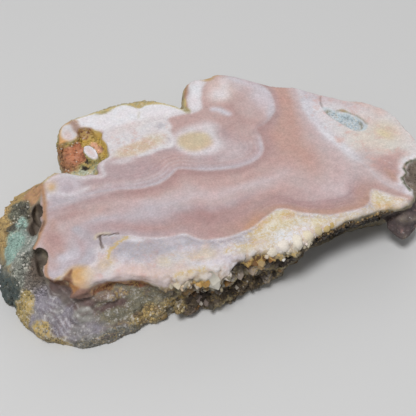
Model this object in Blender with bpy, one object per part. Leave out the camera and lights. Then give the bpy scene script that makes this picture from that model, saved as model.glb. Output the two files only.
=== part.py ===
"""A sawn slab of banded pink amethyst: one natural stone between two parallel saw cuts.

The polished cut is the top, the second cut is the flat base it rests on, and the rim between them is
the natural skin of the nodule. All sizes below are millimetres; the mesh itself is in metres.
The origin is the middle of the slab's box, on the base. X runs along the slab, Y across it.
"""

import math
import random

import bmesh
import bpy
import numpy as np
from mathutils import Matrix, Vector, geometry, noise

MM = 0.001
THICKNESS = 22.0
BOX_MIDDLE = (6.38, 16.51)  # where the origin lies among the points below

STATION_SPACING = 1.9  # between points of the rim
EDGE_JITTER = 0.18
NORMAL_SPREAD = 7.0  # the rim's direction is averaged over this far to each side
EDGE_SOFTENING = 4.5  # the cut edge's small corners are averaged over this far
EDGE_FADE = 9.0  # and are gone this far below the cut
CURVE_STEPS = 12  # straight pieces between two given points of a curve

# The edge of the polished cut, anticlockwise seen from above, from the front left corner.
CUT_EDGE = (
    (-53.0, -7.0), (-50.5, -9.8), (-47.5, -10.3), (-46.0, -12.0), (-43.0, -14.0), (-39.0, -14.0),
    (-34.0, -14.5), (-30.0, -15.0), (-26.0, -17.0), (-22.0, -20.0), (-17.0, -21.5), (-12.0, -22.5),
    (-7.0, -23.5), (-3.0, -24.0), (0.0, -22.5), (4.0, -21.5), (10.0, -21.5), (16.0, -22.0),
    (21.0, -22.5), (26.0, -21.5), (31.0, -20.5), (37.0, -19.8), (43.0, -19.8), (49.0, -19.5),
    (54.0, -20.0), (58.0, -20.8), (62.0, -20.5), (66.0, -18.0), (70.0, -15.0), (74.0, -10.0),
    (76.5, -4.0), (77.5, 2.0), (77.3, 9.0), (77.0, 15.0), (75.5, 20.0), (72.0, 24.3),
    (69.0, 27.2), (65.5, 28.8), (63.0, 31.0), (60.0, 33.8), (57.0, 36.8), (54.0, 40.0),
    (51.0, 42.6), (47.0, 44.3), (43.5, 46.5), (40.0, 50.0), (36.0, 54.0), (32.5, 57.0),
    (28.5, 58.8), (25.0, 58.0), (20.5, 59.0), (17.5, 57.5), (15.0, 53.5), (13.2, 49.0),
    (11.8, 46.0), (9.5, 48.5), (6.5, 51.5), (2.5, 54.0), (-2.0, 55.5), (-8.0, 56.3),
    (-14.0, 56.0), (-20.0, 55.8), (-25.0, 55.0), (-29.0, 53.5), (-31.5, 50.0), (-32.5, 46.0),
    (-33.0, 42.0), (-34.5, 38.5), (-36.5, 34.5), (-38.5, 32.8), (-41.5, 31.5), (-43.0, 28.0),
    (-45.2, 23.0), (-46.7, 18.0), (-47.5, 14.5), (-49.5, 10.0), (-51.5, 6.0), (-53.8, 3.6),
    (-50.5, 2.5), (-50.3, -0.5), (-52.0, -3.0),
)

# How far the skin stands outside the cut edge at each height, at places round the rim.
WALL_LEVELS = (22.0, 20.6, 18.5, 15.5, 12.0, 8.0, 4.0, 0.0)
WALL_SECTIONS = (
    ((-53.0, -7.0), (0.0, -0.2, -0.8, -0.5, 1.5, 5.0, 8.5, 8.0)),
    ((-46.0, -12.0), (0.0, 0.4, 0.2, 0.0, 2.0, 5.5, 8.6, 8.0)),
    ((-39.0, -14.0), (0.0, 0.6, -0.6, -1.2, 1.2, 5.0, 8.4, 8.4)),
    ((-30.0, -15.0), (0.0, 0.8, 0.0, -1.6, 0.2, 3.8, 6.6, 6.6)),
    ((-24.0, -18.5), (0.0, 0.8, 0.6, -0.8, -0.6, 0.6, 2.2, 1.6)),
    ((-17.0, -21.5), (0.0, 0.9, 0.9, -0.4, -1.8, -1.8, -1.6, -3.0)),
    ((-7.0, -23.5), (0.0, 1.0, 1.4, 0.8, -1.4, -1.8, -0.4, -2.0)),
    ((4.0, -21.5), (0.0, 1.0, 1.6, 0.6, -0.4, -0.2, 0.0, -1.6)),
    ((16.0, -22.0), (0.0, 1.0, 1.4, 1.0, 0.2, -1.0, -2.2, -3.4)),
    ((26.0, -21.5), (0.0, 0.9, 0.8, -0.4, -2.2, -4.4, -6.0, -6.8)),
    ((37.0, -19.8), (0.0, 0.9, 0.4, -1.6, -4.2, -6.6, -8.4, -9.4)),
    ((49.0, -19.5), (0.0, 0.8, 0.2, -2.2, -4.8, -7.4, -9.4, -10.6)),
    ((58.0, -20.8), (0.0, 0.8, 0.2, -1.8, -4.2, -7.2, -9.8, -11.6)),
    ((66.0, -18.0), (0.0, 0.6, 0.8, 0.0, -1.6, -4.8, -7.6, -9.6)),
    ((76.5, -4.0), (0.0, 0.3, 0.2, -0.8, -2.6, -5.0, -7.4, -9.4)),
    ((77.0, 15.0), (0.0, 0.3, 0.0, -1.0, -2.6, -4.8, -7.0, -9.0)),
    ((65.5, 28.8), (0.0, 0.4, 0.2, -0.6, -1.8, -3.6, -5.6, -7.6)),
    ((51.0, 42.6), (0.0, 0.6, 0.6, 0.0, -1.0, -2.6, -4.4, -6.2)),
    ((32.5, 57.0), (0.0, 0.8, 1.0, 0.8, 0.2, -1.0, -2.6, -4.4)),
    ((17.5, 57.5), (0.0, 0.8, 1.2, 1.4, 1.0, 0.2, -1.0, -2.4)),
    ((11.8, 46.0), (0.0, 0.6, 1.2, 2.0, 2.4, 2.6, 2.2, 1.2)),
    ((2.5, 54.0), (0.0, 1.2, 1.8, 2.2, 2.0, 1.2, 0.0, -1.6)),
    ((-14.0, 56.0), (0.0, 1.4, 2.2, 2.6, 2.4, 1.4, 0.0, -1.8)),
    ((-29.0, 53.5), (0.0, 1.2, 1.8, 2.4, 2.6, 2.2, 1.0, -0.8)),
    ((-33.0, 42.0), (0.0, 0.2, 0.4, 0.6, 0.8, 0.6, 0.0, -1.2)),
    ((-36.5, 34.5), (0.0, 0.4, 1.2, 2.4, 3.2, 3.4, 2.6, 1.0)),
    ((-42.2, 29.5), (0.0, 1.2, 4.2, 9.0, 12.2, 13.0, 11.6, 9.2)),
    ((-46.7, 18.0), (0.0, 1.6, 6.0, 13.4, 17.2, 17.8, 16.4, 14.0)),
    ((-51.5, 6.0), (0.0, 1.2, 3.8, 8.2, 11.4, 12.8, 12.8, 11.4)),
    ((-51.0, -2.0), (0.0, 0.4, 1.2, 3.6, 7.4, 10.4, 11.6, 10.6)),
)

# Relief of the skin: its depth at places round the rim, the size of its lumps, and the finer grain.
SKIN_RELIEF = (
    ((-53.0, -7.0), 0.7), ((-39.0, -14.0), 0.9), ((-24.0, -18.5), 1.5), ((0.0, -22.5), 1.9),
    ((26.0, -21.5), 1.6), ((49.0, -19.5), 1.2), ((66.0, -18.0), 1.1), ((77.0, 15.0), 1.1),
    ((51.0, 42.6), 1.3), ((20.5, 59.0), 1.3), ((-8.0, 56.3), 1.3), ((-32.5, 46.0), 1.0),
    ((-46.7, 18.0), 1.3),
)
LUMP_SIZE = 6.5
LEDGE_HEIGHT = 3.2
GRAIN_SIZE = 2.6
GRAIN_SHARE = 0.6
GRAIN_SHIFT = 40.0  # keeps the grain from lining up with the lumps
RELIEF_AT_TOP, RELIEF_PER_LEVEL = 0.3, 0.25  # the relief grows from the cut down, up to its full depth
LEDGE_DROP = 0.5  # share of the relief by which a ledge also moves up or down
LEAN_STRETCH = 1.3  # spreads the relief where the skin leans out, so that lumps aren't drawn long

# Hollows that open on the cut: anticlockwise outlines, then for each its name, depth, the width of
# its sloping side and the relief of its floor.
POCKET = (
    (-26.0, 54.0), (-27.5, 53.5), (-27.5, 52.0), (-26.0, 49.5), (-26.5, 46.5), (-29.0, 46.0),
    (-33.0, 46.0), (-36.0, 45.0), (-42.0, 42.0), (-42.0, 36.0), (-37.0, 32.5), (-34.0, 31.0),
    (-31.0, 28.5), (-28.0, 28.0), (-25.0, 27.0), (-24.5, 30.0), (-23.0, 32.0), (-19.0, 33.5),
    (-18.5, 36.0), (-18.0, 40.0), (-18.5, 43.0), (-17.5, 46.0), (-19.0, 47.5), (-21.0, 50.5),
    (-24.5, 51.5),
)
VUG = (
    (56.0, 28.0), (55.5, 27.0), (57.0, 23.0), (59.0, 18.0), (61.0, 14.5), (64.0, 14.0),
    (65.5, 16.0), (65.0, 19.0), (63.5, 22.0), (60.5, 25.0), (58.0, 28.0),
)
MATRIX_BAY = (
    (64.0, -20.0), (68.0, -26.0), (78.0, -22.0), (84.0, -12.0), (80.0, -4.5), (73.0, -5.0),
    (70.0, -5.5), (68.0, -7.0), (67.5, -9.5), (65.5, -11.0), (64.5, -14.0), (65.0, -17.0),
)
HOLLOWS = (
    ("pocket_cutter", POCKET, 3.4, 1.2, 1.5),
    ("vug_cutter", VUG, 2.6, 0.9, 0.6),
    ("matrix_bay_cutter", MATRIX_BAY, 1.1, 0.5, 0.7),
)
HOLLOW_SPACING = 1.6
FLOOR_GRAIN = 1.7  # how much finer a hollow's floor is than the skin
CUTTER_RISE, CUTTER_TOP = 0.1, 1.0  # how far a cutter's rings stand over the cut, as shares of its depth
TRIANGULATION_TOLERANCE = 1e-4

# Rounded pits in the rim and rounded lumps on it: centre, half sizes.
PITS = (
    ((6.0, -24.0, 12.2), (4.6, 3.6, 3.2)),
    ((-1.5, -24.6, 8.8), (5.0, 3.4, 2.2)),
    ((-10.5, -24.8, 10.2), (4.2, 3.6, 2.4)),
    ((-32.5, -16.4, 15.8), (5.4, 2.4, 2.2)),
    ((38.0, -19.0, 11.6), (8.0, 3.4, 2.6)),
    ((49.5, -19.4, 13.0), (5.6, 3.6, 2.8)),
    ((-47.2, 19.6, 18.4), (2.2, 4.4, 4.2)),
    ((-49.4, 14.6, 18.2), (2.4, 4.8, 4.2)),
    ((-51.6, 17.0, 21.0), (3.4, 6.6, 3.8)),
    ((-51.6, 0.8, 18.0), (3.0, 5.2, 5.4)),
    ((-55.4, 1.2, 19.4), (3.6, 5.6, 4.4)),
    ((-37.5, 40.0, 14.8), (4.8, 8.0, 7.4)),
    ((22.0, 60.6, 10.0), (6.0, 2.6, 3.6)),
    ((-18.0, 60.0, 6.0), (8.0, 3.0, 3.4)),
    ((68.0, 30.0, 11.0), (5.0, 4.4, 3.2)),
)
LUMPS = (
    ((62.8, -17.2, 11.4), (5.6, 6.2, 6.6)),
    ((68.6, -12.4, 12.4), (5.8, 6.2, 6.0)),
    ((-12.6, -18.6, 3.4), (3.4, 4.4, 3.2)),
    ((-7.4, -18.6, 4.4), (3.2, 3.6, 2.8)),
    ((-43.4, -13.4, 17.0), (3.6, 2.2, 3.6)),
    ((-36.6, -13.8, 12.8), (4.0, 2.8, 2.4)),
    ((-44.6, -15.4, 9.2), (5.0, 3.0, 4.2)),
    ((14.0, -18.6, 6.0), (5.4, 3.4, 3.2)),
    ((-9.0, 54.6, 13.0), (7.0, 4.0, 4.6)),
    ((38.0, 45.6, 9.0), (7.0, 5.0, 4.6)),
)
LUMP_DETAIL = 2
LUMP_RELIEF = 0.3

# Quartz points crowded along the front rim: span of X, spacing, radius, length, how far they tip
# down, height of their tips, and how far the tips stand out of the skin.
CRYSTAL_ROWS = (
    ((-20.0, 12.0), 2.3, (1.2, 2.0), (5.0, 6.4), 34.0, 16.8, (1.2, 2.4)),
    ((-19.0, 10.0), 2.9, (0.9, 1.5), (4.4, 5.4), 58.0, 12.4, (1.0, 2.0)),
    ((13.0, 29.0), 2.0, (0.8, 1.3), (4.4, 5.4), 44.0, 16.6, (0.8, 1.9)),
    ((29.0, 54.5), 1.3, (0.62, 0.82), (4.4, 5.2), 60.0, 15.6, (0.7, 1.3)),
    ((-18.0, 20.0), 3.7, (1.0, 1.7), (4.6, 5.6), 8.0, 4.0, (0.8, 1.8)),
)
# The largest points, each by its base, direction, radius and length.
LARGE_CRYSTALS = (
    ((-5.4, -20.8, 17.4), (0.05, -0.80, -0.60), 2.5, 7.6),
    ((-9.8, -20.8, 17.8), (-0.20, -0.86, -0.46), 1.8, 6.2),
    ((-2.0, -20.4, 16.6), (0.30, -0.70, -0.64), 1.8, 6.8),
    ((8.6, -19.0, 18.4), (0.25, -0.85, -0.45), 1.9, 6.8),
    ((-14.6, -18.8, 5.6), (-0.35, -0.80, 0.20), 1.6, 6.2),
)
CRYSTAL_SEED = 7
CRYSTAL_SIDES = 6
CRYSTAL_FOOT = 0.92  # the foot's radius against the shoulder's
CRYSTAL_TIP = 1.15  # the tip's height against the radius
CRYSTAL_TIP_OFFSET = 0.12  # how far off its axis the tip is, against the radius
ROW_SCATTER = 0.25  # how far a point strays along its row, as a share of the spacing
ROW_TILT = 9.0  # degrees by which a point's tilt varies
ROW_SWAY = 0.25  # how far a point leans to either side
ROW_HEIGHT = 0.8  # how far a tip is above or below its row

# Small points that line the floor of the vug: spacing, radius, length.
DRUSE = (1.6, (0.5, 0.75), (2.2, 2.8))
DRUSE_SCATTER = 0.4
DRUSE_LEAN = 0.5
DRUSE_BURIED = 0.6  # share of each point's length that is inside the floor
DRUSE_MARGIN = 0.7  # how near the vug's side a point may stand, as a share of the side's width

# The island of polished stone left standing in the pocket: middle, half sizes, turn in degrees.
ISLAND = ((-24.3, 38.0), (1.8, 3.6), 12.0)
ISLAND_RINGS = ((12.0, 1.5), (THICKNESS - 1.2, 1.15), (THICKNESS, 1.0))  # height, share of the half sizes
ISLAND_SIDES = 14

STONE_COLOUR = (0.60, 0.38, 0.35, 1.0)
STONE_ROUGHNESS = 0.4


def closed_curve(points, spacing):
    """Points at even spacing on a closed Catmull-Rom curve through the given ones."""
    points = np.array(points, float)
    before, after, beyond = (np.roll(points, shift, axis=0) for shift in (1, -1, -2))
    steps = np.linspace(0, 1, CURVE_STEPS, endpoint=False)[:, None, None]
    curve = 0.5 * (
        2 * points
        + (after - before) * steps
        + (2 * before - 5 * points + 4 * after - beyond) * steps**2
        + (3 * points - before - 3 * after + beyond) * steps**3
    )
    curve = curve.transpose(1, 0, 2).reshape(-1, points.shape[1])
    closed = np.vstack([curve, curve[:1]])
    length = np.concatenate([[0], np.cumsum(np.linalg.norm(np.diff(closed, axis=0), axis=1))])
    count = max(8, round(length[-1] / spacing))
    wanted = np.linspace(0, length[-1], count, endpoint=False)
    return np.stack([np.interp(wanted, length, closed[:, i]) for i in range(points.shape[1])], axis=1)


def averaged(values, reach):
    """Values round a closed ring, each averaged with its neighbours up to reach places away."""
    weights = np.hanning(2 * reach + 3)[1:-1]
    turned = [np.roll(values, shift, axis=0) * w for shift, w in zip(range(-reach, reach + 1), weights)]
    return sum(turned) / weights.sum()


def outward(ring, spread, spacing):
    """Unit vectors pointing out of an anticlockwise ring, smoothed over spread millimetres."""
    reach = max(1, round(spread / spacing))
    smooth = averaged(ring, reach)
    along = np.roll(smooth, -1, axis=0) - np.roll(smooth, 1, axis=0)
    out = np.stack([along[:, 1], -along[:, 0]], axis=1)
    out = averaged(out / np.linalg.norm(out, axis=1)[:, None], reach)
    return out / np.linalg.norm(out, axis=1)[:, None]


def around(ring, places):
    """Rows of numbers given at places near a ring, interpolated smoothly for each of its points."""
    spots = [int(np.argmin(np.linalg.norm(ring - np.array(place), axis=1))) for place, _ in places]
    order = np.argsort(spots)
    spots = np.array(spots)[order]
    rows = np.atleast_2d(np.array([np.atleast_1d(places[i][1]) for i in order], float))
    count = len(ring)
    stations = np.arange(count)
    after = np.searchsorted(spots, stations, side="right") % len(spots)
    before = (after - 1) % len(spots)
    gap = (spots[after] - spots[before]) % count
    share = ((stations - spots[before]) % count) / gap
    share = (share * share * (3 - 2 * share))[:, None]
    return rows[before] * (1 - share) + rows[after] * share


def lumpiness(x, y, z):
    """Natural relief at a point, between about -1 and 1: lumps drawn out into ledges, with a finer grain."""
    broad = noise.noise(Vector((x / LUMP_SIZE, y / LUMP_SIZE, z / LEDGE_HEIGHT)))
    grain = noise.noise(Vector((x + GRAIN_SHIFT, y, z)) / GRAIN_SIZE)
    return broad + GRAIN_SHARE * grain


def new_object(name, bm):
    """An object from a bmesh whose points are in millimetres among the points above."""
    bmesh.ops.translate(bm, verts=bm.verts, vec=(-BOX_MIDDLE[0], -BOX_MIDDLE[1], 0.0))
    bmesh.ops.scale(bm, verts=bm.verts, vec=(MM, MM, MM))
    bmesh.ops.recalc_face_normals(bm, faces=bm.faces)
    mesh = bpy.data.meshes.new(name)
    bm.to_mesh(mesh)
    bm.free()
    obj = bpy.data.objects.new(name, mesh)
    bpy.context.scene.collection.objects.link(obj)
    return obj


def bridge(bm, lower, upper):
    """A band of triangles between two rings of equally many points."""
    count = len(lower)
    for i in range(count):
        j = (i + 1) % count
        bm.faces.new((lower[i], lower[j], upper[j]))
        bm.faces.new((lower[i], upper[j], upper[i]))


def slab():
    """The stone before its hollows are cut: two flat cuts with the natural skin lofted between them."""
    ring = closed_curve(CUT_EDGE, STATION_SPACING)
    soft_ring = averaged(ring, round(EDGE_SOFTENING / STATION_SPACING))
    out = outward(ring, NORMAL_SPREAD, STATION_SPACING)
    offsets = around(ring, WALL_SECTIONS)
    relief = around(ring, SKIN_RELIEF)[:, 0]
    bm = bmesh.new()
    rows = []
    for level, z in enumerate(WALL_LEVELS):
        softness = min(1.0, (THICKNESS - z) / EDGE_FADE)
        level_ring = ring * (1 - softness) + soft_ring * softness
        row = []
        for (x, y), (nx, ny), offset, depth in zip(level_ring, out, offsets[:, level], relief):
            bump = EDGE_JITTER
            if level > 0:
                bump = depth * min(1.0, RELIEF_AT_TOP + RELIEF_PER_LEVEL * level)
            lean = LEAN_STRETCH * offset
            offset += bump * lumpiness(x + lean * nx, y + lean * ny, z)
            height = z
            if 0 < level < len(WALL_LEVELS) - 1:
                height += LEDGE_DROP * depth * lumpiness(y, z, x)
            row.append(bm.verts.new((x + nx * offset, y + ny * offset, height)))
        rows.append(row)
    for upper, lower in zip(rows, rows[1:]):
        bridge(bm, lower, upper)
    caps = [bm.faces.new(rows[0]), bm.faces.new(rows[-1][::-1])]
    bmesh.ops.triangulate(bm, faces=caps)
    return new_object("amethyst_slice", bm)


def hollow_cutter(name, outline, depth, side, relief):
    """A closed cutter that reaches from above the cut down to a lumpy floor, depth below it."""
    ring = closed_curve(outline, HOLLOW_SPACING)
    out = outward(ring, HOLLOW_SPACING, HOLLOW_SPACING)
    low, high = ring.min(axis=0), ring.max(axis=0)
    inner = []
    for row, y in enumerate(np.arange(low[1], high[1], HOLLOW_SPACING * math.sqrt(0.75))):
        for x in np.arange(low[0] + (row % 2) * HOLLOW_SPACING / 2, high[0], HOLLOW_SPACING):
            apart = np.linalg.norm(ring - (x, y), axis=1)
            nearest = int(np.argmin(apart))
            if (ring[nearest] - (x, y)) @ out[nearest] > 0 and apart[nearest] > side:
                inner.append((x, y))
    flat = [Vector(point) for point in (*map(tuple, ring), *inner)]
    edges = [(i, (i + 1) % len(ring)) for i in range(len(ring))]
    _, _, faces, *_ = geometry.delaunay_2d_cdt(flat, edges, [], 1, TRIANGULATION_TOLERANCE)
    bm = bmesh.new()
    lower = [bm.verts.new((x, y, THICKNESS + CUTTER_RISE * depth)) for x, y in ring]
    upper = [bm.verts.new((x, y, THICKNESS + CUTTER_TOP * depth)) for x, y in ring]
    floor = []
    for x, y in inner:
        bump = relief * lumpiness(FLOOR_GRAIN * x, FLOOR_GRAIN * y, depth)
        floor.append(bm.verts.new((x, y, THICKNESS - depth + bump)))
    for face in faces:
        bm.faces.new([(lower + floor)[i] for i in reversed(face)])
    bridge(bm, lower, upper)
    bmesh.ops.triangulate(bm, faces=[bm.faces.new(upper)])
    return new_object(name, bm)


def rounded_lump(name, centre, half_sizes):
    """A pebble-like closed lump."""
    bm = bmesh.new()
    made = bmesh.ops.create_icosphere(bm, subdivisions=LUMP_DETAIL, radius=1.0)
    for vert in made["verts"]:
        swell = 1 + LUMP_RELIEF * lumpiness(*(vert.co * LUMP_SIZE + Vector(centre)))
        vert.co = Vector(centre) + Vector([a * b * swell for a, b in zip(vert.co, half_sizes)])
    return new_object(name, bm)


def crystal(base, direction, radius, length, turn):
    """A six-sided quartz prism with a pyramid for its tip, pointing along direction from its base."""
    bm = bmesh.new()
    direction = Vector(direction).normalized()
    facing = direction.to_track_quat("Z", "Y").to_matrix() @ Matrix.Rotation(turn, 3, "Z")
    rings = []
    for share, height in ((CRYSTAL_FOOT, 0.0), (1.0, length - CRYSTAL_TIP * radius)):
        ring = []
        for k in range(CRYSTAL_SIDES):
            angle = 2 * math.pi * k / CRYSTAL_SIDES
            across = share * radius
            corner = Vector((across * math.cos(angle), across * math.sin(angle), height))
            ring.append(bm.verts.new(Vector(base) + facing @ corner))
        rings.append(ring)
    foot, shoulder = rings
    bridge(bm, foot, shoulder)
    tip = bm.verts.new(Vector(base) + facing @ Vector((CRYSTAL_TIP_OFFSET * radius, 0.0, length)))
    for k in range(CRYSTAL_SIDES):
        bm.faces.new((shoulder[k], shoulder[(k + 1) % CRYSTAL_SIDES], tip))
    bm.faces.new(foot[::-1])
    return new_object("crystal", bm)


def rim_crystals():
    """The quartz points of the front rim: the crowded rows, then the few large ones."""
    rng = random.Random(CRYSTAL_SEED)
    ring = closed_curve(CUT_EDGE, STATION_SPACING)
    out = outward(ring, NORMAL_SPREAD, STATION_SPACING)
    offsets = around(ring, WALL_SECTIONS)
    front = ring[:, 1] < 0
    made = []
    for (start, end), spacing, radii, lengths, tilt, height, proud in CRYSTAL_ROWS:
        for x in np.arange(start, end, spacing):
            x += rng.uniform(-ROW_SCATTER, ROW_SCATTER) * spacing
            nearest = int(np.argmin(np.where(front, abs(ring[:, 0] - x), np.inf)))
            nx, ny = out[nearest]
            down = math.radians(tilt + rng.uniform(-ROW_TILT, ROW_TILT))
            direction = Vector((nx * math.cos(down), ny * math.cos(down), -math.sin(down)))
            direction = (direction + Vector((rng.uniform(-ROW_SWAY, ROW_SWAY), 0, 0))).normalized()
            tip_height = height + rng.uniform(-ROW_HEIGHT, ROW_HEIGHT)
            skin = np.interp(-tip_height, [-level for level in WALL_LEVELS], offsets[nearest])
            reach = skin + rng.uniform(*proud)
            tip = Vector((x + nx * reach, ring[nearest, 1] + ny * reach, tip_height))
            length = rng.uniform(*lengths)
            turn = rng.uniform(0, 2 * math.pi / CRYSTAL_SIDES)
            made.append(crystal(tip - direction * length, direction, rng.uniform(*radii), length, turn))
    for base, direction, radius, length in LARGE_CRYSTALS:
        turn = rng.uniform(0, 2 * math.pi / CRYSTAL_SIDES)
        made.append(crystal(base, direction, radius, length, turn))
    return made


def vug_druse():
    """Little quartz points that stand up from the floor of the vug."""
    rng = random.Random(CRYSTAL_SEED)
    ring = closed_curve(VUG, HOLLOW_SPACING)
    out = outward(ring, HOLLOW_SPACING, HOLLOW_SPACING)
    depth, side = next(hollow[2:4] for hollow in HOLLOWS if hollow[1] is VUG)
    spacing, radii, lengths = DRUSE
    (west, south), (east, north) = ring.min(axis=0), ring.max(axis=0)
    made = []
    for x in np.arange(west, east, spacing):
        for y in np.arange(south, north, spacing):
            x_there = x + rng.uniform(-DRUSE_SCATTER, DRUSE_SCATTER)
            y_there = y + rng.uniform(-DRUSE_SCATTER, DRUSE_SCATTER)
            radius, length = rng.uniform(*radii), rng.uniform(*lengths)
            lean = (rng.uniform(-DRUSE_LEAN, DRUSE_LEAN), rng.uniform(-DRUSE_LEAN, DRUSE_LEAN), 1.0)
            turn = rng.uniform(0, 2 * math.pi / CRYSTAL_SIDES)
            apart = np.linalg.norm(ring - (x_there, y_there), axis=1)
            nearest = int(np.argmin(apart))
            inward = (ring[nearest] - (x_there, y_there)) @ out[nearest]
            if inward > 0 and apart[nearest] > DRUSE_MARGIN * side:
                base = (x_there, y_there, THICKNESS - depth - DRUSE_BURIED * length)
                made.append(crystal(base, lean, radius, length, turn))
    return made


def island():
    """The polished island inside the pocket, as a slightly flared post up to the cut."""
    (x, y), (half_x, half_y), turn = ISLAND
    turn = math.radians(turn)
    bm = bmesh.new()
    rings = []
    for height, share in ISLAND_RINGS:
        ring = []
        for k in range(ISLAND_SIDES):
            angle = 2 * math.pi * k / ISLAND_SIDES
            u = share * half_x * math.cos(angle)
            v = share * half_y * math.sin(angle)
            across = u * math.cos(turn) - v * math.sin(turn)
            along = u * math.sin(turn) + v * math.cos(turn)
            ring.append(bm.verts.new((x + across, y + along, height)))
        rings.append(ring)
    for lower, upper in zip(rings, rings[1:]):
        bridge(bm, lower, upper)
    bm.faces.new(rings[0][::-1])
    bm.faces.new(rings[-1])
    return new_object("pocket_island", bm)


def boolean(stone, name, operation, shapes):
    """Cuts shapes from the stone or joins them to it, and keeps them as helpers outside the part."""
    group = bpy.data.collections.new(name)
    group.hide_render = True
    bpy.context.scene.collection.children.link(group)
    for shape in shapes:
        shape.hide_render = True
        shape.display_type = "WIRE"
        group.objects.link(shape)
        bpy.context.scene.collection.objects.unlink(shape)
    modifier = stone.modifiers.new(name, "BOOLEAN")
    modifier.operation = operation
    modifier.solver = "EXACT"
    modifier.operand_type = "COLLECTION"
    modifier.collection = group


def stone_material():
    material = bpy.data.materials.new("banded_pink_amethyst")
    material.use_nodes = True
    shader = material.node_tree.nodes["Principled BSDF"]
    shader.inputs["Base Color"].default_value = STONE_COLOUR
    shader.inputs["Roughness"].default_value = STONE_ROUGHNESS
    shader.inputs["Metallic"].default_value = 0.0
    return material


def main():
    for obj in list(bpy.data.objects):
        bpy.data.objects.remove(obj, do_unlink=True)
    stone = slab()
    boolean(stone, "hollows", "DIFFERENCE", [hollow_cutter(*hollow) for hollow in HOLLOWS])
    boolean(stone, "pits", "DIFFERENCE", [rounded_lump("pit", *pit) for pit in PITS])
    boolean(stone, "lumps", "UNION", [rounded_lump("lump", *lump) for lump in LUMPS])
    boolean(stone, "crystals", "UNION", [island(), *rim_crystals(), *vug_druse()])
    stone.data.materials.append(stone_material())


main()
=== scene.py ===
"""The looks of the sawn pink amethyst slice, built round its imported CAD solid.

The stone is remeshed finely from the CAD node, its natural skin gets its relief, and every point gets a
colour: the polished cut from its agate banding, the skin from its patches. The quartz points, pebbles and
grains that grow on it are joined meshes. Sizes and places are millimetres in the slab's own coordinates,
where the middle of its base is MIDDLE and the cut face is at z = THICKNESS. Routes and outlines on the cut
are flat rows of x, y, x, y.
"""

import itertools
import math
import random
from collections import namedtuple

import bmesh
import bpy
import numpy as np
from mathutils import Matrix, Vector


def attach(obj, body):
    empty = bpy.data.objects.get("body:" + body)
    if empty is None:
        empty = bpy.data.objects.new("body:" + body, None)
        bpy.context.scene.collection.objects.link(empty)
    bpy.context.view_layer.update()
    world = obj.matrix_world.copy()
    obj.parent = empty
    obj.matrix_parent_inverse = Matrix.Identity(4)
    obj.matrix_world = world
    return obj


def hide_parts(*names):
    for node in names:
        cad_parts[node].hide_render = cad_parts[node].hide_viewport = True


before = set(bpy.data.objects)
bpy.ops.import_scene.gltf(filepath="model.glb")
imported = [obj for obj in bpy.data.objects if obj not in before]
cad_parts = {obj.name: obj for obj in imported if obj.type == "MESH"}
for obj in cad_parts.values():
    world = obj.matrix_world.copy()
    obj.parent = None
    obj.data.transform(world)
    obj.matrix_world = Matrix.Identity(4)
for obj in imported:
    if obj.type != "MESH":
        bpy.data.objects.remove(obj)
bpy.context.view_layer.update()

MM = 0.001
MIDDLE = (6.38, 16.51, 0)
THICKNESS = 22
VOXEL = 0.5


# ---- noise ----
HASH_PRIMES = np.array((73856093, 19349663, 83492791))
SEED_FACTOR, MIX_FACTOR, LOW_BITS = 2654435761, 2246822519, 0xFFFFFFFF


def scrambled(cells, seed):
    """A repeatable pseudo-random whole number for each row of whole numbers."""
    mixed = (cells @ HASH_PRIMES + seed * SEED_FACTOR) & LOW_BITS
    for shift in (15, 13, 16):
        mixed = ((mixed ^ (mixed >> shift)) * MIX_FACTOR) & LOW_BITS
    return mixed


def three_bytes(mixed, scale):
    """The three low bytes of each whole number, over a scale."""
    return np.stack([(mixed >> shift & 255) / scale for shift in (0, 8, 16)], axis=1)


def smooth_noise(points, size, seed):
    """Gradient noise between about -1 and 1 whose lumps have the given size."""
    scaled = points / size
    cells = np.floor(scaled).astype(np.int64)
    inside = scaled - cells
    fade = inside**3 * (inside * (inside * 6 - 15) + 10)
    total = np.zeros(len(points))
    for corner in itertools.product((0, 1), repeat=3):
        slope = three_bytes(scrambled(cells + corner, seed), 127.5) - 1
        weight = np.where(corner, fade, 1 - fade).prod(axis=1)
        total += weight * ((inside - corner) * slope).sum(axis=1)
    return 1.5 * total


def layered_noise(points, size, octaves, seed):
    """Several octaves of smooth noise, each half as large and half as strong as the last."""
    return sum(smooth_noise(points, size / 2**k, seed + k) / 2**k for k in range(octaves))


def noise_vectors(points, size, octaves, seeds):
    """Layered noise with a seed for each coordinate."""
    return np.stack([layered_noise(points, size, octaves, seed) for seed in seeds], axis=1)


def patchy_noise(points, size, seed, soft):
    """Smooth patches from 0.35 to 1."""
    return 0.35 + 0.65 * faded(-smooth_noise(points, size, seed), soft)


def cell_noise(points, size, seed):
    """Each point's distance and way from the nearest scattered centre, in cells, and that centre's number."""
    scaled = points / size
    cells = np.floor(scaled).astype(np.int64)
    nearest = np.full(len(points), np.inf)
    ways = np.zeros((len(points), 3))
    chosen = np.zeros(len(points), np.int64)
    for step in itertools.product((-1, 0, 1), repeat=3):
        mixed = scrambled(cells + step, seed)
        way = scaled - (cells + step + three_bytes(mixed, 255))
        apart = np.linalg.norm(way, axis=1)
        closer = apart < nearest
        nearest[closer], ways[closer], chosen[closer] = apart[closer], way[closer], mixed[closer]
    return nearest, ways, chosen


def crystal_noise(points, size, seed):
    """Faceted lumps: how high each point lies on its lump, and a number for the lump, both from 0 to 1."""
    _, ways, chosen = cell_noise(points, size, seed)
    widest = np.zeros(len(points))
    for k in range(4):
        slant = ((chosen * (2 * k + 3))[:, None] >> np.array((3, 9, 15)) & 63) / 31.5 - 1
        slant /= np.linalg.norm(slant, axis=1)[:, None] + 1e-9
        widest = np.maximum(widest, np.abs((ways * slant).sum(axis=1)))
    return np.clip(1 - 1.3 * widest, 0, 1), (chosen >> 7 & 1023) / 1023


# ---- curves and masks ----
CURVE_STEPS = 5


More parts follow.
